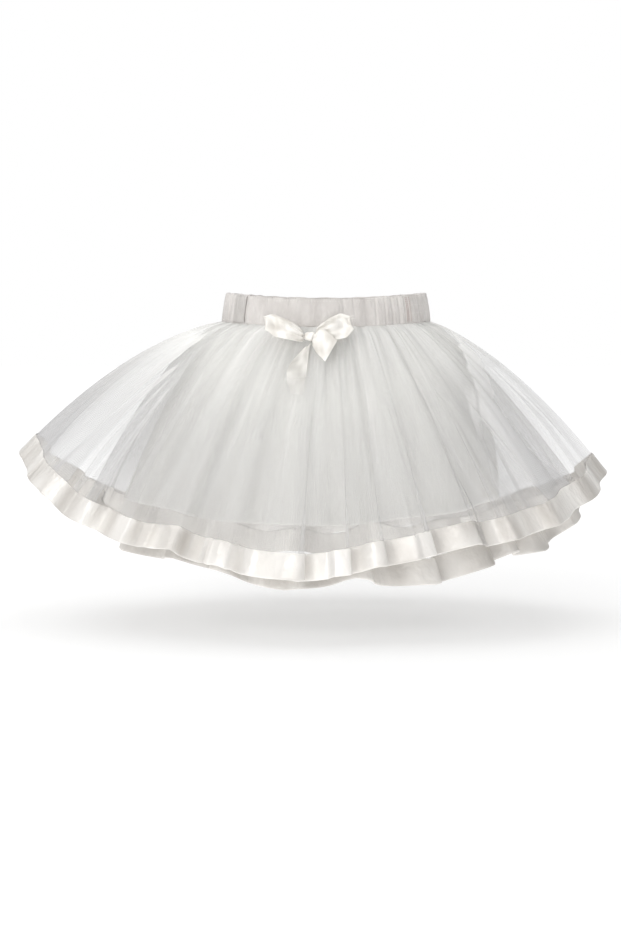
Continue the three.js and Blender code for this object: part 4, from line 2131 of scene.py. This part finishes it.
def catmull(values: Array, place: Array) -> Array:
    """A smooth curve through evenly placed values.

    Args:
        values: one for each whole place.
        place: where the curve is read.

    Returns:
        The curve's values there.
    """
    padded = np.concatenate([[2 * values[0] - values[1]], values, [2 * values[-1] - values[-2]]])
    whole = np.minimum(np.floor(place).astype(int), len(values) - 2)
    t = place - whole
    a, b, c, d = (padded[whole + k] for k in range(4))
    return 0.5 * (
        2 * b + (c - a) * t + (2 * a - 5 * b + 4 * c - d) * t**2 + (3 * b - a - 3 * c + d) * t**3
    )


# ---------- Studio ----------


@dataclass(frozen=True)
class Softbox:
    """A square lamp: place and aim in metres, size and power."""

    name: str
    place: tuple[float, float, float]
    aim: tuple[float, float, float]
    size: float
    power: float
    colour: Colour = (1.0, 1.0, 1.0)


@dataclass(frozen=True)
class Studio:
    """A pale floor with a painted shadow under the garment, a pale backdrop, soft lamps and the
    camera.
    """

    floor_height: float = -0.312
    floor_glow: tuple[float, float] = (0.42, 0.9)
    floor_fade: tuple[float, float] = (0.0, 1.5)
    # How much the floor's glow is lowered under the garment: a painted shadow.
    floor_painted_shadow: float = 0.08
    floor_colour: Colour = (0.55, 0.55, 0.55)
    room_strength: float = 0.32
    backdrop_radius: float = 9.0
    eye: tuple[float, float, float] = (-0.0155, -1.9, 0.012)
    pitch: float = 5.04
    lens: float = 73.76
    lamps: tuple[Softbox, ...] = (
        Softbox("key_lamp", (-1.3, -1.6, 0.6), (0.0, 0.0, -0.12), 0.8, 9.9, (1.0, 0.985, 0.965)),
        Softbox("front_lamp", (-0.4, -2.1, 0.6), (0.0, 0.0, -0.15), 1.1, 4.9),
        Softbox("right_lamp", (1.1, -1.8, 0.5), (0.15, 0.0, -0.2), 0.4, 0.9),
        Softbox("top_lamp", (-0.1, 0.0, 1.1), (0.0, 0.0, -0.2), 2.0, 19.0),
        Softbox("bounce_lamp", (0.0, 0.0, -0.308), (0.0, 0.0, 0.5), 1.0, 1.3),
    )

    def build(self) -> None:
        """Sets up the room, the floor, the backdrop, the lamps and the camera."""
        self.room()
        self.floor()
        self.backdrop()
        for lamp in self.lamps:
            self.lamp(lamp)
        self.camera()
        scene = bpy.context.scene
        scene.view_settings.view_transform = "Standard"
        scene.cycles.transparent_max_bounces = 64
        scene.cycles.max_bounces = 8
        scene.cycles.diffuse_bounces = 4
        log.info("studio: %d lamps", len(self.lamps))

    def room(self) -> None:
        """Even pale light from all round."""
        world = bpy.data.worlds.new("room")
        bpy.context.scene.world = world
        world.use_nodes = True
        background = world.node_tree.nodes["Background"]
        background.inputs["Color"].default_value = (1.0, 1.0, 1.0, 1.0)
        background.inputs["Strength"].default_value = self.room_strength

    def floor(self) -> None:
        """A pale floor whose glow rises further out to keep it evenly white, with a painted shadow:
        its glow is lowered in a soft oval under the garment.
        """
        bpy.ops.mesh.primitive_plane_add(size=14, location=(0, 0, self.floor_height))
        floor = bpy.context.object
        floor.name = "studio_floor"
        shader = Shader("floor_finish")
        shader.set(
            Base_Color=(*self.floor_colour, 1.0),
            Roughness=1.0,
            Specular_IOR_Level=0.0,
            Emission_Color=(1.0, 1.0, 1.0, 1.0),
        )
        glow = shader.span(shader.distance((1, 1, 0)), self.floor_fade, self.floor_glow)
        # Painted shadow: the glow is lowered in a soft oval under the garment.
        painted_shadow = shader.span(shader.distance((1, 1.5, 0)), (0.05, 0.32), (self.floor_painted_shadow, 0.0))
        shader.set(Emission_Strength=shader.math("SUBTRACT", glow, painted_shadow))
        floor.data.materials.append(shader.material)

    def backdrop(self) -> None:
        """A white backdrop all round that is seen and gives no light."""
        bpy.ops.mesh.primitive_uv_sphere_add(
            segments=64, ring_count=32, radius=self.backdrop_radius, location=(0, 0, 0)
        )
        dome = bpy.context.object
        dome.name = "studio_backdrop"
        shader = Shader("backdrop_finish")
        shader.set(
            Base_Color=(0.0, 0.0, 0.0, 1.0),
            Specular_IOR_Level=0.0,
            Emission_Color=(1.0, 1.0, 1.0, 1.0),
            Emission_Strength=1.0,
        )
        dome.data.materials.append(shader.material)
        dome.visible_diffuse = False
        dome.visible_glossy = False
        dome.visible_transmission = False
        dome.visible_shadow = False

    def lamp(self, lamp: Softbox) -> None:
        """Adds one soft lamp turned to what it lights.

        Args:
            lamp: the lamp.
        """
        data = bpy.data.lights.new(lamp.name, "AREA")
        data.shape = "SQUARE"
        data.size = lamp.size
        data.energy = lamp.power
        data.color = lamp.colour
        light = add_object(lamp.name, data)
        light.location = lamp.place
        light.visible_camera = False
        way = Vector(lamp.aim) - Vector(lamp.place)
        light.rotation_euler = way.to_track_quat("-Z", "Y").to_euler()

    def camera(self) -> None:
        """The camera, level with the waist and tipped a little down."""
        data = bpy.data.cameras.new("camera")
        data.sensor_fit = "VERTICAL"
        data.sensor_height = 36.0
        data.lens = self.lens
        data.clip_end = 100.0
        camera = add_object("camera", data)
        camera.location = self.eye
        camera.rotation_euler = (math.radians(90 - self.pitch), 0, 0)
        bpy.context.scene.camera = camera


# ---------- The tutu ----------


def main() -> None:
    """Builds the studio and every piece of the tutu."""
    logging.basicConfig(level=logging.INFO, format="%(name)s: %(message)s")
    Studio().build()
    wardrobe = Wardrobe()
    Waistband().build(wardrobe)
    makers: tuple[SkirtMaker, ...] = (
        SkirtMaker("outer", OUTER, 1.91, 1.15, 0.235, "outer_net", "hem_satin"),
        SkirtMaker("under", UNDER, 1.53, 1.05, 0.235, "under_net", "shaded_under_hem_satin"),
    )
    for maker in makers:
        maker.build(wardrobe)
    Lining().build(wardrobe)
    Bow().build(wardrobe)


if __name__ == "__main__":
    main()
